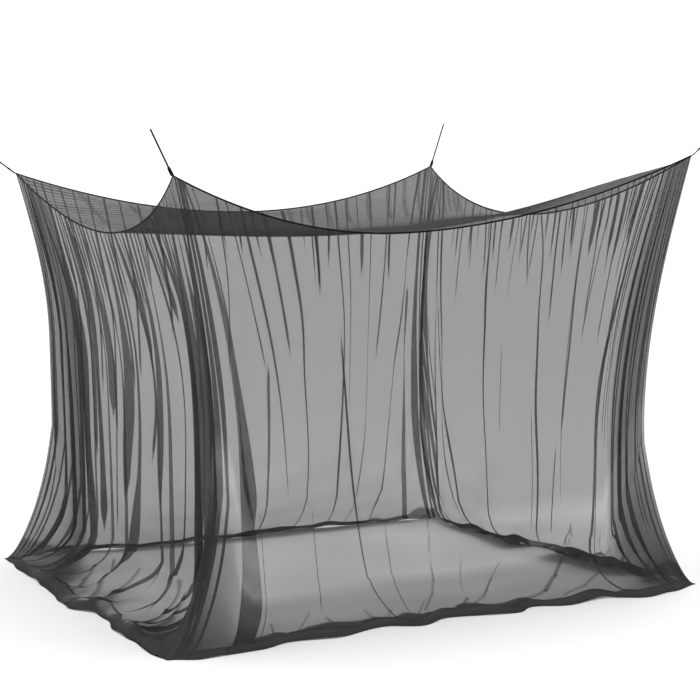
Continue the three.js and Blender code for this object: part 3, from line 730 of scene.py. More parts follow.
        Pleat(0.758, 0.806, 0.690, 0.014, 0.00, 0.10, 0.40, 1.20),
        Pleat(0.778, 0.824, 0.720, 0.026, 0.00, 0.16, 0.30, 1.10),
        Pleat(0.806, 0.850, 0.760, 0.024, 0.00, 1.00, 0.40, 1.10),
        Pleat(0.830, 0.868, 0.790, 0.026, 0.00, 1.00, 0.10, 0.90),
        Pleat(0.856, 0.886, 0.820, 0.034, 0.00, 1.00, 0.10, 0.80),
        Pleat(0.882, 0.904, 0.850, 0.031, 0.00, 1.00, 0.10, 0.45),
        Pleat(0.906, 0.922, 0.880, 0.032, 0.00, 1.00, 0.10, 0.35),
        Pleat(0.928, 0.940, 0.908, 0.032, 0.00, 1.00, 0.10, 0.30),
        Pleat(0.948, 0.957, 0.936, 0.030, 0.00, 1.00, 0.10, 0.30),
        Pleat(0.967, 0.973, 0.962, 0.025, 0.00, 1.00, 0.10, 0.30),
        Pleat(0.984, 0.987, 0.982, 0.020, 0.00, 1.00, 0.20, 0.40),
    ],
}

# The shares of the length where top, mid and low are read, the columns beside a pleat in its sizes,
# the spacing of those between pleats, and how a pleat forms, drifts, opens below the tape, closes
# again near the ground and stands off the wall.
PLEAT_MARKS = (0.03, 0.5, 0.92)
PLEAT_STEPS = np.array((0.3, 0.6, 0.95, 1.45))
COLUMN_STEP = 0.003
PLEAT_FADE = 0.08
PLEAT_DRIFT = 0.003
PLEAT_OPENING = (0, 0.4)
PLEAT_CLOSING = (0.65, 0.9)
PLEAT_CLOSED = 0.15
OVERLAP = 3.0
OVERLAP_SHARE = 1.34
PLEAT_STAND = 0.5
PLEAT_FLAT = 0.08

# Waves that make the cloth uneven: their size, their turns across and along it, and where they start.
Wave = namedtuple("Wave", "size across along start")
DRIFT_WAVES = (Wave(1, 31, 9, 0), Wave(0.6, -53, 17, 0))
WIDTH_WAVES = (Wave(0.3, 2.4, 8, 0),)
RUCK_WAVES = (Wave(0.003, 43, 0, 0), Wave(0.003, 97, 0, 1.3))
CRUMPLE_WAVES = (Wave(0.005, 37, 5, 0), Wave(0.005, 61, -11, 1.7), Wave(0.005, 23, 17, 4.1))
HEM_WAVES = (Wave(0.3, 31, 0, 0), Wave(0.2, 73, 0, 2))

# Gathers of many pleats: share of the width near the tape, at mid height and near the ground, half
# the width as a share, and how many more layers lie in them.
Gather = namedtuple("Gather", "top mid low width layers")
GATHERS = {
    "front": [Gather(0.0, 0.0, 0.006, 0.022, 0.2), Gather(0.978, 0.968, 0.962, 0.028, 0.6)],
    "right": [Gather(0.030, 0.042, 0.042, 0.040, 1.1)],
    "back": [],
    "left": [
        Gather(0.955, 0.958, 0.945, 0.050, 0.15), Gather(0.035, 0.040, 0.040, 0.060, 0.6),
        Gather(0.105, 0.140, 0.140, 0.055, 1.7),
    ],
}

# Slanting creases: share of the width and of the length at both ends, width, height off the wall,
# and how many more layers are gathered into it.
Crease = namedtuple("Crease", "at down to_at to_down width height layers")
CREASES = {
    "front": [
        Crease(0.834, 0.68, 0.808, 0.75, 0.004, 0.004, 1.4),
        Crease(0.808, 0.75, 0.780, 0.817, 0.009, 0.008, 2.4),
        Crease(0.780, 0.817, 0.728, 0.887, 0.010, 0.009, 2.4),
        Crease(0.728, 0.887, 0.680, 0.91, 0.008, 0.006, 2.0),
        Crease(0.878, 0.813, 0.824, 0.877, 0.005, 0.005, 1.6),
        Crease(0.824, 0.877, 0.754, 0.923, 0.005, 0.005, 1.8),
        Crease(0.494, 0.577, 0.502, 0.71, 0.004, 0.003, 1.0),
        Crease(0.502, 0.71, 0.506, 0.78, 0.004, 0.003, 1.4),
        Crease(0.506, 0.78, 0.496, 0.843, 0.005, 0.004, 1.6),
        Crease(0.496, 0.843, 0.466, 0.907, 0.006, 0.005, 1.8),
        Crease(0.664, 0.74, 0.620, 0.843, 0.004, 0.004, 1.2),
        Crease(0.620, 0.843, 0.574, 0.903, 0.005, 0.005, 1.6),
        Crease(0.640, 0.80, 0.600, 0.88, 0.004, 0.004, 1.2),
        Crease(0.574, 0.717, 0.564, 0.837, 0.006, 0.004, 0.6),
        Crease(0.566, 0.875, 0.544, 0.915, 0.007, 0.006, 2.4),
        Crease(0.470, 0.87, 0.446, 0.92, 0.005, 0.004, 1.4),
        Crease(0.222, 0.84, 0.205, 0.92, 0.005, 0.004, 1.2),
        Crease(0.260, 0.87, 0.300, 0.93, 0.006, 0.005, 1.4),
        Crease(0.268, 0.88, 0.250, 0.93, 0.005, 0.004, 1.6),
        Crease(0.345, 0.87, 0.372, 0.93, 0.005, 0.004, 1.4),
        Crease(0.402, 0.88, 0.386, 0.94, 0.005, 0.004, 1.4),
        Crease(0.135, 0.86, 0.160, 0.93, 0.005, 0.005, 1.4),
    ],
    "right": [
        Crease(0.400, 0.87, 0.290, 0.80, 0.012, 0.006, 1.6),
        Crease(0.400, 0.90, 0.258, 0.843, 0.014, 0.007, 2.2),
        Crease(0.292, 0.863, 0.174, 0.84, 0.016, 0.008, 2.6),
        Crease(0.174, 0.84, 0.082, 0.81, 0.014, 0.007, 2.0),
        Crease(0.282, 0.893, 0.202, 0.913, 0.016, 0.008, 2.4),
        Crease(0.094, 0.937, 0.020, 0.937, 0.014, 0.006, 2.0),
        Crease(0.264, 0.79, 0.232, 0.713, 0.005, 0.004, 1.8),
        Crease(0.156, 0.813, 0.136, 0.723, 0.004, 0.003, 1.6),
        Crease(0.096, 0.753, 0.174, 0.857, 0.004, 0.003, 1.6),
        Crease(0.074, 0.823, 0.168, 0.940, 0.005, 0.004, 1.6),
        Crease(0.148, 0.98, 0.050, 0.877, 0.005, 0.004, 1.4),
    ],
    "back": [],
    "left": [
        Crease(0.150, 0.78, 0.200, 0.89, 0.100, 0.010, 1.6),
        Crease(0.200, 0.89, 0.300, 0.975, 0.090, 0.010, 2.8),
        Crease(0.276, 0.84, 0.348, 0.91, 0.012, 0.008, 1.4),
        Crease(0.348, 0.91, 0.460, 0.97, 0.014, 0.008, 1.8),
        Crease(0.352, 0.81, 0.440, 0.90, 0.014, 0.008, 1.6),
        Crease(0.440, 0.90, 0.512, 0.947, 0.014, 0.008, 1.6),
        Crease(0.500, 0.80, 0.520, 0.90, 0.020, 0.012, 1.2),
        Crease(0.520, 0.90, 0.580, 0.975, 0.034, 0.012, 2.2),
        Crease(0.580, 0.975, 0.530, 0.99, 0.034, 0.012, 2.2),
        Crease(0.746, 0.76, 0.770, 0.87, 0.018, 0.010, 1.4),
        Crease(0.770, 0.87, 0.790, 0.96, 0.018, 0.010, 1.8),
        Crease(0.790, 0.79, 0.812, 0.88, 0.018, 0.010, 1.4),
        Crease(0.812, 0.88, 0.812, 0.98, 0.018, 0.010, 1.8),
    ],
}

# The heaped hem at shares of a wall's width: the share of the length at which the heap starts, and
# how many more layers lie in it.
Ruck = namedtuple("Ruck", "at start layers")
RUCKS = {
    "front": [
        Ruck(0.0, 0.90, 4.0), Ruck(0.03, 0.945, 4.0), Ruck(0.06, 0.945, 4.5), Ruck(0.09, 0.925, 4.0),
        Ruck(0.13, 0.90, 4.0), Ruck(0.19, 0.903, 4.5), Ruck(0.23, 0.90, 4.5), Ruck(0.27, 0.887, 4.5),
        Ruck(0.31, 0.893, 4.5), Ruck(0.36, 0.907, 4.5), Ruck(0.40, 0.917, 4.5), Ruck(0.425, 0.903, 5.0),
        Ruck(0.465, 0.915, 5.0), Ruck(0.495, 0.93, 5.0), Ruck(0.52, 0.913, 4.5), Ruck(0.545, 0.90, 4.5),
        Ruck(0.63, 0.903, 4.5), Ruck(0.67, 0.905, 5.0), Ruck(0.71, 0.92, 4.5), Ruck(0.76, 0.94, 4.5),
        Ruck(0.82, 0.93, 4.5), Ruck(0.88, 0.925, 4.0), Ruck(0.93, 0.935, 4.5), Ruck(1.0, 0.95, 4.0),
    ],
    "right": [
        Ruck(0.0, 0.90, 4.0), Ruck(0.08, 0.90, 4.0), Ruck(0.12, 0.93, 1.5), Ruck(0.145, 0.92, 1.5),
        Ruck(0.18, 0.885, 4.0), Ruck(0.24, 0.895, 4.0), Ruck(0.30, 0.885, 4.0), Ruck(0.38, 0.875, 4.5),
        Ruck(0.43, 0.89, 3.5), Ruck(0.46, 0.94, 0.8), Ruck(0.54, 0.95, 0.4), Ruck(0.565, 0.89, 4.5),
        Ruck(0.60, 0.885, 4.5), Ruck(0.65, 0.895, 3.5), Ruck(0.75, 0.91, 3.0), Ruck(0.85, 0.915, 3.0),
        Ruck(1.0, 0.92, 2.0),
    ],
    "back": [
        Ruck(0.0, 0.92, 2.0), Ruck(0.10, 0.90, 2.0), Ruck(0.30, 0.895, 2.2), Ruck(0.42, 0.90, 2.0),
        Ruck(0.54, 0.89, 2.2), Ruck(0.65, 0.90, 2.0), Ruck(0.76, 0.89, 2.2), Ruck(0.88, 0.90, 2.0),
        Ruck(1.0, 0.91, 1.6),
    ],
    "left": [
        Ruck(0.0, 0.95, 2.0), Ruck(0.15, 0.975, 2.4), Ruck(0.36, 0.97, 3.0), Ruck(0.47, 0.975, 2.4),
        Ruck(0.55, 0.965, 3.0), Ruck(0.61, 0.98, 2.4), Ruck(0.69, 0.965, 3.0), Ruck(0.76, 0.97, 2.6),
        Ruck(0.86, 0.95, 3.4), Ruck(0.94, 0.90, 4.0), Ruck(1.0, 0.86, 4.0),
    ],
}

# Heaps of net in the corners: place, reach along the wall and down it, and how many more layers.
Heap = namedtuple("Heap", "at down wide deep layers")
HEAPS = {
    "front": [
        Heap(0.0, 0.97, 0.034, 0.11, 4.0), Heap(0.052, 0.91, 0.026, 0.06, 0.9),
        Heap(0.104, 0.93, 0.028, 0.03, 1.5), Heap(0.985, 0.95, 0.03, 0.05, 1.5),
    ],
    "right": [Heap(0.05, 0.95, 0.06, 0.06, 1.5)],
    "back": [],
    "left": [Heap(0.950, 0.97, 0.125, 0.11, 4.0), Heap(0.330, 0.985, 0.060, 0.03, 1.5)],
}

# How many more layers each wall gets at shares of the length, or fewer where it is drawn thin, as painted
# light and shade:
# on the front a band at about two thirds of its length is drawn thinner than one layer, as painted light
# on the floor seen through it, and the net thickens towards the hem as painted shade; the left thickens
# between about half and two thirds of its length as painted shade.
# And how strongly it is streaked from which shares on.
PAINTED_LIGHT_AND_SHADE_LAYERS = {
    "front": ((0.0, 0.0), (0.59, 0.0), (0.64, -0.50), (0.75, -0.35), (0.79, 0.20), (0.90, 0.60)),
    "right": ((0.0, 0.0), (1.0, 0.0)),
    "back": ((0.0, 0.0), (1.0, 0.0)),
    "left": ((0.0, 0.0), (0.3, 0.0), (0.45, 0.15), (0.68, 0.20), (0.76, 0.0)),
}
STREAKS = 0.10
STREAK_FROM = (0.5, 0.7)
STREAK_WAVES = ((46, 3, 7), (29, -5, 4))

# Rows down a wall, closer together on the ground and closest in the hem.
HEM_START = 0.92
WALL_ROWS = np.concatenate((
    np.linspace(0, FLARE_START, 50, endpoint=False),
    np.linspace(FLARE_START, HEM_START, 30, endpoint=False),
    np.linspace(HEM_START, 1, 34),
))
SQUARE_PROBE = 0.02

# The tuck rolled into the hem, the ragged edge below it, and the crumpled net round both.
TUCK_DOWN = 0.962
TUCK_SIZE = 0.012
TUCK_LEAST = 0.4
TUCK_MORE = 1.8
TUCK_WAVE = (23, 2, 9)
RUCK_FADE = 0.010
HEM_FROM = (0.97, 1)
HEM_UNEVEN = 0.006
CRUMPLE_FROM = (0.86, 0.95)
CRUMPLE_SEAM = 0.02


def smooth_share(value, low, high):
    """Rises smoothly from 0 at low to 1 at high."""
    share = np.clip((value - low) / (high - low), 0, 1)
    return share * share * (3 - 2 * share)


def swaying_wave(wave, main, other):
    """A sine wave along one direction of the cloth that sways with another."""
    turns, sway, sways = wave
    return np.sin(turns * main + sway * np.sin(sways * other))


def uneven(waves, share, down):
    """The sum of some waves at shares of the width and length."""
    return sum(wave.size * np.sin(wave.across * share + wave.along * down + wave.start) for wave in waves)


def column_of(rows, name):
    """One column of a table."""
    return np.array([getattr(row, name) for row in rows])


def section_at(down, name):
    """A column of the sections at shares of the length, without overshooting between the rows."""
    marks, values = column_of(SECTIONS, "down"), column_of(SECTIONS, name)
    steps = np.diff(marks)
    slopes = np.diff(values) / steps
    if name == "fall":
        return np.interp(down, marks, values)
    tangents = np.concatenate((slopes[:1], np.zeros(len(slopes) - 1), slopes[-1:]))
    weights = 2 * steps[1:] + steps[:-1], steps[1:] + 2 * steps[:-1]
    for inner in np.flatnonzero(slopes[:-1] * slopes[1:] > 0):
        first, second = weights[0][inner], weights[1][inner]
        tangents[inner + 1] = (first + second) / (first / slopes[inner] + second / slopes[inner + 1])
    step = np.clip(np.searchsorted(marks, down) - 1, 0, len(steps) - 1)
    share = (down - marks[step]) / steps[step]
    held = (1 + 2 * share) * (1 - share) ** 2 * values[step]
    held += share ** 2 * (3 - 2 * share) * values[step + 1]
    bend = share * (1 - share) ** 2 * tangents[step] - share ** 2 * (1 - share) * tangents[step + 1]
    return held + bend * steps[step]


def along_hem(rows, share, name):
    """A column of a hem table at shares of the wall's width."""
    marks, values = column_of(rows, "at"), column_of(rows, name)
    row = np.clip(np.searchsorted(marks, share) - 1, 0, len(marks) - 2)
    rise = smooth_share(share, marks[row], marks[row + 1])
    return values[row] + (values[row + 1] - values[row]) * rise


def seam_draw(corner, height):
    """How far a corner seam is drawn in at a share of the height."""
    fallen = np.clip((1 - height) / (1 - CORNERS[corner]["waist"]), 0, 1)
    return np.sin(fallen * math.pi / 2)[..., None] * np.array(CORNERS[corner]["draw"])


def hung_point(wall, share, down):
    """Points of the wall without its folds, at shares of its width and length."""
    corner = 1 - smooth_share(np.minimum(share, 1 - share), 0, CORNER_REACH)
    flare = FLARE_MIDDLE + (FLARE_CORNER - FLARE_MIDDLE) * corner
    points = top_edge(wall, share)
    top = points[..., 2] - EDGE_DROP
    fall = section_at(down, "fall")
    height = (top + (flare - top) * fall) * section_at(down, "rise")
    start, end = TOP_EDGES[wall]["start"], TOP_EDGES[wall]["end"]
    across = share[..., None]
    plan = points[..., :2] + seam_draw(start, height / top) * (1 - across)
    plan += seam_draw(end, height / top) * across
    first, last = np.array(CORNERS[start]["tip"]), np.array(CORNERS[end]["tip"])
    hem = first + (last - first) * across
    hem += wall_outward(wall) * along_hem(HEMS[wall], share, "out")[..., None]
    spread = section_at(down, "spread")
    spread += (section_at(down, "corner") - spread) * corner
    plan += (hem - plan) * spread[..., None]
    height += GROUND_CLEARANCE * smooth_share(down, CLEARANCE_START, FLARE_START)
    height += section_at(down, "roll") * along_hem(HEMS[wall], share, "roll")
    return np.concatenate((plan, height[..., None]), axis=-1)


def wall_square(wall, share, down):
    """The direction square to the unfolded wall, outwards."""
    right = hung_point(wall, np.minimum(share + EDGE_PROBE, 1), down)
    right -= hung_point(wall, np.maximum(share - EDGE_PROBE, 0), down)
    below = hung_point(wall, share, np.minimum(down + SQUARE_PROBE, 1))
    below -= hung_point(wall, share, np.maximum(down - SQUARE_PROBE, 0))
    square = np.cross(below, right)
    return square / np.linalg.norm(square, axis=-1, keepdims=True)


def broad_folds(wall, share, down):
    """How far the broad folds stand off the wall."""
    fall = section_at(down, "fall")
    depth = np.zeros_like(share)
    for fold in FOLDS[wall]:
        off = np.minimum(np.abs(share - fold.at) * SIDE / fold.width, 1)
        depth += np.cos(off * math.pi / 2) ** 2 * (fold.upper + (fold.lower - fold.upper) * fall)
    return depth * section_at(down, "fold")


def pleat_line(pleat, down):
    """The share of the width at which a pleat or gather runs, at shares of the length."""
    high, middle, low = PLEAT_MARKS
    line = pleat.top * (down - middle) * (down - low) / ((high - middle) * (high - low))
    line += pleat.mid * (down - high) * (down - low) / ((middle - high) * (middle - low))
    line += pleat.low * (down - high) * (down - middle) / ((low - high) * (low - middle))
    return line + PLEAT_DRIFT * 4 * line * (1 - line) * uneven(DRIFT_WAVES, line, down)


def half_pleat(room):
    """Offsets from a pleat's line to the end of its room, in sizes of the pleat, and its fold there."""
    beyond = max(round(room[1] / COLUMN_STEP), 1)
    steps = np.arange(1, beyond + 1) / beyond
    near = np.tile(PLEAT_STEPS, (len(room[0]), 1))
    far = PLEAT_STEPS[-1] + np.outer(room[0] - PLEAT_STEPS[-1], steps)
    offset = np.concatenate((near, far), axis=1)
    return offset, offset * np.exp(-offset ** 2) * (1 - (offset / room[0][:, None]) ** 4)


def pleated_grid(wall, down):
    """For the rows at shares of the length: the share of the width of every column, how far the pleats
    stand off there, and the layers gathered into them. Columns crowd together at the pleats."""
    pleats = PLEATS[wall]
    lines = np.stack([pleat_line(pleat, down) for pleat in pleats])
    caught = column_of(pleats, "tape")[:, None]
    growth = caught + (1 - caught) * smooth_share(down, *PLEAT_OPENING)
    growth -= PLEAT_CLOSED * smooth_share(down, *PLEAT_CLOSING)
    growth *= 1 + uneven(WIDTH_WAVES, np.arange(len(pleats))[:, None], down)
    sizes = column_of(pleats, "width")[:, None] / OVERLAP_SHARE / SIDE * growth
    between = (lines[:-1] * sizes[1:] + lines[1:] * sizes[:-1]) / (sizes[:-1] + sizes[1:])
    ends = np.concatenate((np.zeros_like(lines[:1]), between, np.ones_like(lines[:1])))
    shares, stands, layers = [], [], []
    for pleat, line, size, left, right in zip(pleats, lines, sizes, ends[:-1], ends[1:]):
        tight = np.minimum(size, np.minimum(line - left, right - line) / 2)
        before, fold_before = half_pleat(((line - left) / tight, np.mean(line - left)))
        after, fold_after = half_pleat(((right - line) / tight, np.mean(right - line)))
        middle = np.zeros_like(line)[:, None]
        offset = np.concatenate((-before[:, ::-1], middle, after), axis=1)
        form = smooth_share(down, pleat.first - PLEAT_FADE, pleat.first)
        form *= 1 - smooth_share(down, pleat.last, pleat.last + PLEAT_FADE)
        wave = np.concatenate((-fold_before[:, ::-1], middle, fold_after), axis=1) * form[:, None]
        kept = slice(1 if shares else 0, None)
        placed = line[:, None] + tight[:, None] * offset - OVERLAP * size[:, None] * wave
        shares.append(placed[:, kept])
        stands.append((PLEAT_STAND * SIDE * size[:, None] * wave)[:, kept])
        layers.append((pleat.layers * form[:, None] * np.exp(-offset ** 2))[:, kept])
    return tuple(np.concatenate(part, axis=1) for part in (shares, stands, layers))


def creased(wall, share, down):
    """How far the slanting creases stand off the wall, and the layers gathered into them."""
    stand, layers = np.zeros_like(share), np.zeros_like(share)
    scale = np.array((SIDE, WALL_LENGTH))
    for crease in CREASES[wall]:
        start = np.array((crease.at, crease.down)) * scale
        run = np.array((crease.to_at, crease.to_down)) * scale - start
        away = np.stack((share, down), axis=-1) * scale - start
        along = np.clip(away @ run / (run @ run), 0, 1)
        off = np.linalg.norm(away - along[..., None] * run, axis=-1) / crease.width
        ridge = np.exp(-off ** 2)
        stand += crease.height * ridge
        layers += crease.layers * ridge
    return stand, layers


def gathered_layers(wall, share, down):
    """The layers of net in the gathers, in the painted light and shade down each wall, in the heaped hem
    and in the corner heaps.
    """
    streaks = STREAKS * smooth_share(down, *STREAK_FROM)
    for wave in STREAK_WAVES:
        streaks = streaks * swaying_wave(wave, down, share)
    # Painted light and shade: the front is drawn thinner at two thirds of its length and thicker towards
    # the hem, and the left is thicker about halfway down.
    layers = np.interp(down, *zip(*PAINTED_LIGHT_AND_SHADE_LAYERS[wall])) + streaks
    for gather in GATHERS[wall]:
        off = (share - pleat_line(gather, down)) / gather.width
        layers += gather.layers * np.exp(-off ** 4)
    start = along_hem(RUCKS[wall], share, "start")
    start += uneven(RUCK_WAVES, share, down)
    layers += along_hem(RUCKS[wall], share, "layers") * smooth_share(down, start, start + RUCK_FADE)
    for heap in HEAPS[wall]:
        off = ((share - heap.at) / heap.wide) ** 2 + ((down - heap.down) / heap.deep) ** 2
        layers += heap.layers * np.exp(-off)
    return layers


def cloth_sheet(name, points, layers, material):
    """A sheet through a grid of points, its texture map in metres of cloth, and its gathered layers."""
    rows, columns = points.shape[:2]
    bm = bmesh.new()
    bm.loops.layers.uv.new("UVMap")
    bmesh.ops.create_grid(bm, x_segments=columns - 1, y_segments=rows - 1, size=1)
    bmesh.ops.reverse_faces(bm, faces=bm.faces)
    sheet = finish_piece(name, bm, material)
    sheet.data.vertices.foreach_set("co", points.ravel())
    middle = rows // 2
    widths = np.linalg.norm(np.diff(points[middle], axis=0), axis=-1).cumsum()
    lengths = np.linalg.norm(np.diff(points[:, columns // 2], axis=0), axis=-1).cumsum()
    spots = np.stack(np.meshgrid(np.append(0, widths), np.append(0, lengths)), axis=-1).reshape(-1, 2)
    corners = np.empty(len(sheet.data.loops), np.int32)
    sheet.data.loops.foreach_get("vertex_index", corners)
    sheet.data.uv_layers["UVMap"].uv.foreach_set("vector", spots[corners].ravel())
    gathered = sheet.data.attributes.new("layers", "FLOAT", "POINT")
    gathered.data.foreach_set("value", layers.ravel())
    sheet.data.update()
    return sheet


NET_PITCH = 0.0016
NET_YARN = 0.28
NET_DARK = (0.026, 0.026, 0.027, 1)
NET_LIGHT = (0.042, 0.042, 0.043, 1)
NET_TONE_SCALE = 5.0
NET_ROUGHNESS = 0.9
NET_GLOSS = 0.1
# The shares of light that one layer stops, in a gap and on a yarn.
GAP_COVER = 0.42
YARN_COVER = 0.535

net_finish = bpy.data.materials.new("sheer black net")
net_finish.use_nodes = True
net_tree = net_finish.node_tree
net_shader = net_tree.nodes["Principled BSDF"]
net_shader.inputs["Roughness"].default_value = NET_ROUGHNESS
net_shader.inputs["Specular IOR Level"].default_value = NET_GLOSS
net_place = node(net_tree, "ShaderNodeTexCoord")
net_yarns = node(
    net_tree, "ShaderNodeGroup",
    {"Vector": net_place.outputs["UV"], "Pitch": NET_PITCH, "Yarn": NET_YARN}, node_tree=yarn_lattice,
)
net_tone = node(
    net_tree, "ShaderNodeGroup",
    {"Vector": net_place.outputs["Object"], "Dark": NET_DARK, "Light": NET_LIGHT, "Scale": NET_TONE_SCALE},
    node_tree=faded_tone,
)
net_tree.links.new(net_tone.outputs["Color"], net_shader.inputs["Base Color"])
net_gathered = node(net_tree, "ShaderNodeAttribute", attribute_name="layers")
net_cover = node(
    net_tree, "ShaderNodeMapRange",
    {"Value": net_yarns.outputs["Mask"], "To Min": GAP_COVER, "To Max": YARN_COVER},
)
net_open = calculate(
    net_tree, "POWER", calculate(net_tree, "SUBTRACT", 1.0, net_cover.outputs[0]),
    calculate(net_tree, "ADD", 1.0, net_gathered.outputs["Fac"]),
)
net_tree.links.new(calculate(net_tree, "SUBTRACT", 1.0, net_open), net_shader.inputs["Alpha"])

for wall in TOP_EDGES:
    row = WALL_ROWS[:, None]
    share, stand, layers = pleated_grid(wall, WALL_ROWS)
    share = np.clip(share, 0, 1)
    tuck = (row - TUCK_DOWN) / TUCK_SIZE
    tucked = TUCK_LEAST + TUCK_MORE * (0.5 + 0.5 * swaying_wave(TUCK_WAVE, share, share))
    ragged = HEM_UNEVEN * (0.5 + uneven(HEM_WAVES, share, row))
    down = row - TUCK_SIZE * tucked * tuck * np.exp(-tuck ** 2) - ragged * smooth_share(row, *HEM_FROM)
    points = hung_point(wall, share, down)
    ridge, ridge_layers = creased(wall, share, down)
    stood = stand * (PLEAT_FLAT + (1 - PLEAT_FLAT) * section_at(down, "fold"))
    stood += ridge + broad_folds(wall, share, down)
    points += wall_square(wall, share, down) * stood[..., None]
    crumple = uneven(CRUMPLE_WAVES, share, row) * smooth_share(row, *CRUMPLE_FROM)
    crumple *= smooth_share(np.minimum(share, 1 - share), 0, CRUMPLE_SEAM)
    points[..., 2] = np.maximum(points[..., 2] + crumple, GROUND_CLEARANCE)
    layers += ridge_layers + gathered_layers(wall, share, np.broadcast_to(row, share.shape))
    panel = cloth_sheet(f"net_wall_{wall}", points, layers, net_finish)
    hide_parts(f"wall_{wall}")


# Roof panel
# One square of the same net, sewn in under the four tapes. It hangs as a membrane from the corners, in
# fine ripples across, which gather more net where the left edge slackens. At the right corner it is
# drawn into a tight ridge.
ROOF_LIFT = 0.258
ROOF_CORNER_LIFT = 0.2
ROOF_RIDGE = 7.5
ROOF_RIDGE_POWER = 8
ROOF_GAP = 0.0008
ROOF_ROWS = np.linspace(1, 0, 391)
ROOF_COLUMNS = np.concatenate((np.linspace(0, 0.5, 80, endpoint=False), np.linspace(0.5, 1, 171)))
ROOF_LAYERS = 0.8
# Ripples across the roof, faded towards its edges, and the slack corner where they gather more net.
RIPPLE_HEIGHT = 0.0032
RIPPLE_COUNT = 43
RIPPLE_FADE = 4
RIPPLE_LAYERS = 4.5
RIPPLE_WAVES = (Wave(1.5, 6, 0, 2), Wave(1, 17, 9, 0), Wave(1, 31, 0, 0))
SLACK_SIDE = (0.35, 0.2)
SLACK_BACK = (0.5, 0.7)
SLACK_EVEN = 0.6
SLACK_WAVES = (Wave(0.4, 16, 47, 0),)
# Bars where the roof is caught in the back seam, as shares of its width, each slanting the more the
# further right it is.
ROOF_BARS = (
    0.10, 0.20, 0.56, 0.605, 0.655, 0.705, 0.76, 0.815, 0.86, 0.90, 0.935, 0.955, 0.97,
    0.985, 1.0, 1.012,
)
BAR_WIDTH = 0.004
BAR_LAYERS = 1.2
BAR_READ = 0.85
BAR_SLANT = 0.17
BAR_MORE_SLANT = 0.3
BAR_FROM = (0.6, 0.75)
# Pull lines from the right corner, as angles from the front edge, and how far they reach.
PULL_LINES = (0.10, 0.22, 0.38, 0.60, 0.85, 1.10)
PULL_WIDTH = 0.028
PULL_LAYERS = 1.0
PULL_REACH = (0.75, 0.25)


def roof_border(wall, share):
    """The roof's border along a wall, just inside its tape."""
    share = np.asarray(share, float)
    edge = TOP_EDGES[wall]
    outward = edge_outward(wall, share)
    outward = np.where((share == 0)[..., None], corner_outward(edge["start"]), outward)
    outward = np.where((share == 1)[..., None], corner_outward(edge["end"]), outward)
    return top_edge(wall, share) - outward * (TAPE_THICKNESS / 2 + ROOF_GAP) + UP * TAPE_HEIGHT / 2


back_row, side_row = np.meshgrid(ROOF_ROWS, ROOF_COLUMNS, indexing="ij")
to_back, to_side = back_row[..., None], side_row[..., None]
across = roof_border("front", side_row) * (1 - to_back) + roof_border("back", 1 - side_row) * to_back
along = roof_border("left", 1 - back_row) * (1 - to_side) + roof_border("right", back_row) * to_side
near = roof_border("front", 0.0) * (1 - to_side) + roof_border("front", 1.0) * to_side
far = roof_border("back", 1.0) * (1 - to_side) + roof_border("back", 0.0) * to_side
roof_points = across + along - near * (1 - to_back) - far * to_back
from_side, from_end = (2 * side_row - 1) ** 2, (2 * back_row - 1) ** 2
inner = (1 - from_side) * (1 - from_end)
ridge = ROOF_RIDGE * (side_row * (1 - back_row)) ** ROOF_RIDGE_POWER
roof_points[..., 2] += ROOF_LIFT * inner * (1 + ROOF_CORNER_LIFT * (from_side + from_end) + ridge)
bend = uneven(RIPPLE_WAVES, side_row, back_row)
ripple = np.sin(2 * math.pi * RIPPLE_COUNT * back_row + bend)
roof_points[..., 2] += RIPPLE_HEIGHT * ripple * np.minimum(RIPPLE_FADE * inner, 1)
slack = smooth_share(side_row, *SLACK_SIDE) * smooth_share(back_row, *SLACK_BACK)
slack *= SLACK_EVEN + uneven(SLACK_WAVES, side_row, back_row)
roof_layers = ROOF_LAYERS + RIPPLE_LAYERS * slack * np.maximum(ripple, 0) ** 3
for bar in ROOF_BARS:
    slant = (BAR_SLANT + BAR_MORE_SLANT * bar) * (back_row - BAR_READ)
    caught = np.exp(-((side_row - bar - slant) / BAR_WIDTH) ** 2)
    roof_layers += BAR_LAYERS * caught * smooth_share(back_row, *BAR_FROM)
corner_reach = np.hypot(1 - side_row, back_row)
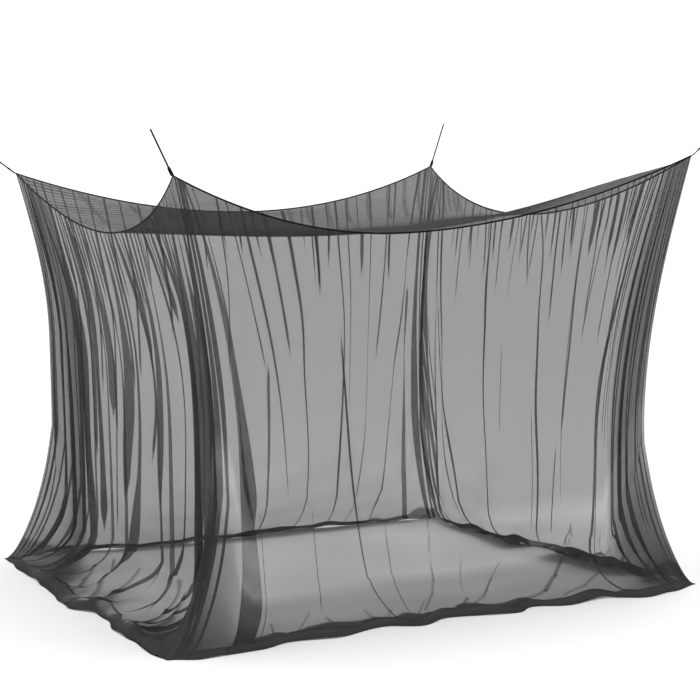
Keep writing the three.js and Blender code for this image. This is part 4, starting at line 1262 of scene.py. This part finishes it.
corner_turn = np.arctan2(back_row, 1 - side_row)
for turn in PULL_LINES:
    pull_line = np.exp(-((corner_turn - turn) / PULL_WIDTH) ** 2)
    roof_layers += PULL_LAYERS * pull_line * smooth_share(corner_reach, *PULL_REACH)
roof = cloth_sheet("net_roof", roof_points, roof_layers, net_finish)
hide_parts("roof_panel")


# Floor and light
# A plain white floor, wide enough to reach past the picture from every side.
# A white sky and one large soft lamp overhead light it evenly.
FLOOR_SIZE = 300
FLOOR_WHITE = 0.9
FLOOR_ROUGHNESS = 0.9
FLOOR_GLOSS = 0.1
SKY_STRENGTH = 1.25
LAMP_SIZE = 8
LAMP_HEIGHT = 9
LAMP_WATTS = 180

floor_bm = bmesh.new()
bmesh.ops.create_grid(floor_bm, x_segments=1, y_segments=1, size=FLOOR_SIZE / 2)
floor_mesh = bpy.data.meshes.new("floor")
floor_bm.to_mesh(floor_mesh)
floor_bm.free()
floor = bpy.data.objects.new("floor", floor_mesh)
bpy.context.collection.objects.link(floor)
floor_finish = bpy.data.materials.new("white floor")
floor_finish.use_nodes = True
floor_shader = floor_finish.node_tree.nodes["Principled BSDF"]
floor_shader.inputs["Base Color"].default_value = (FLOOR_WHITE, FLOOR_WHITE, FLOOR_WHITE, 1)
floor_shader.inputs["Roughness"].default_value = FLOOR_ROUGHNESS
floor_shader.inputs["Specular IOR Level"].default_value = FLOOR_GLOSS
floor_mesh.materials.append(floor_finish)

sky = bpy.data.worlds.new("white sky")
sky.use_nodes = True
sky.node_tree.nodes["Background"].inputs["Color"].default_value = (1, 1, 1, 1)
sky.node_tree.nodes["Background"].inputs["Strength"].default_value = SKY_STRENGTH
bpy.context.scene.world = sky

lamp_data = bpy.data.lights.new("soft lamp", "AREA")
lamp_data.size = LAMP_SIZE
lamp_data.energy = LAMP_WATTS
lamp = bpy.data.objects.new("soft lamp", lamp_data)
lamp.location = (0, 0, LAMP_HEIGHT)
bpy.context.collection.objects.link(lamp)
bpy.context.scene.view_settings.view_transform = "Standard"
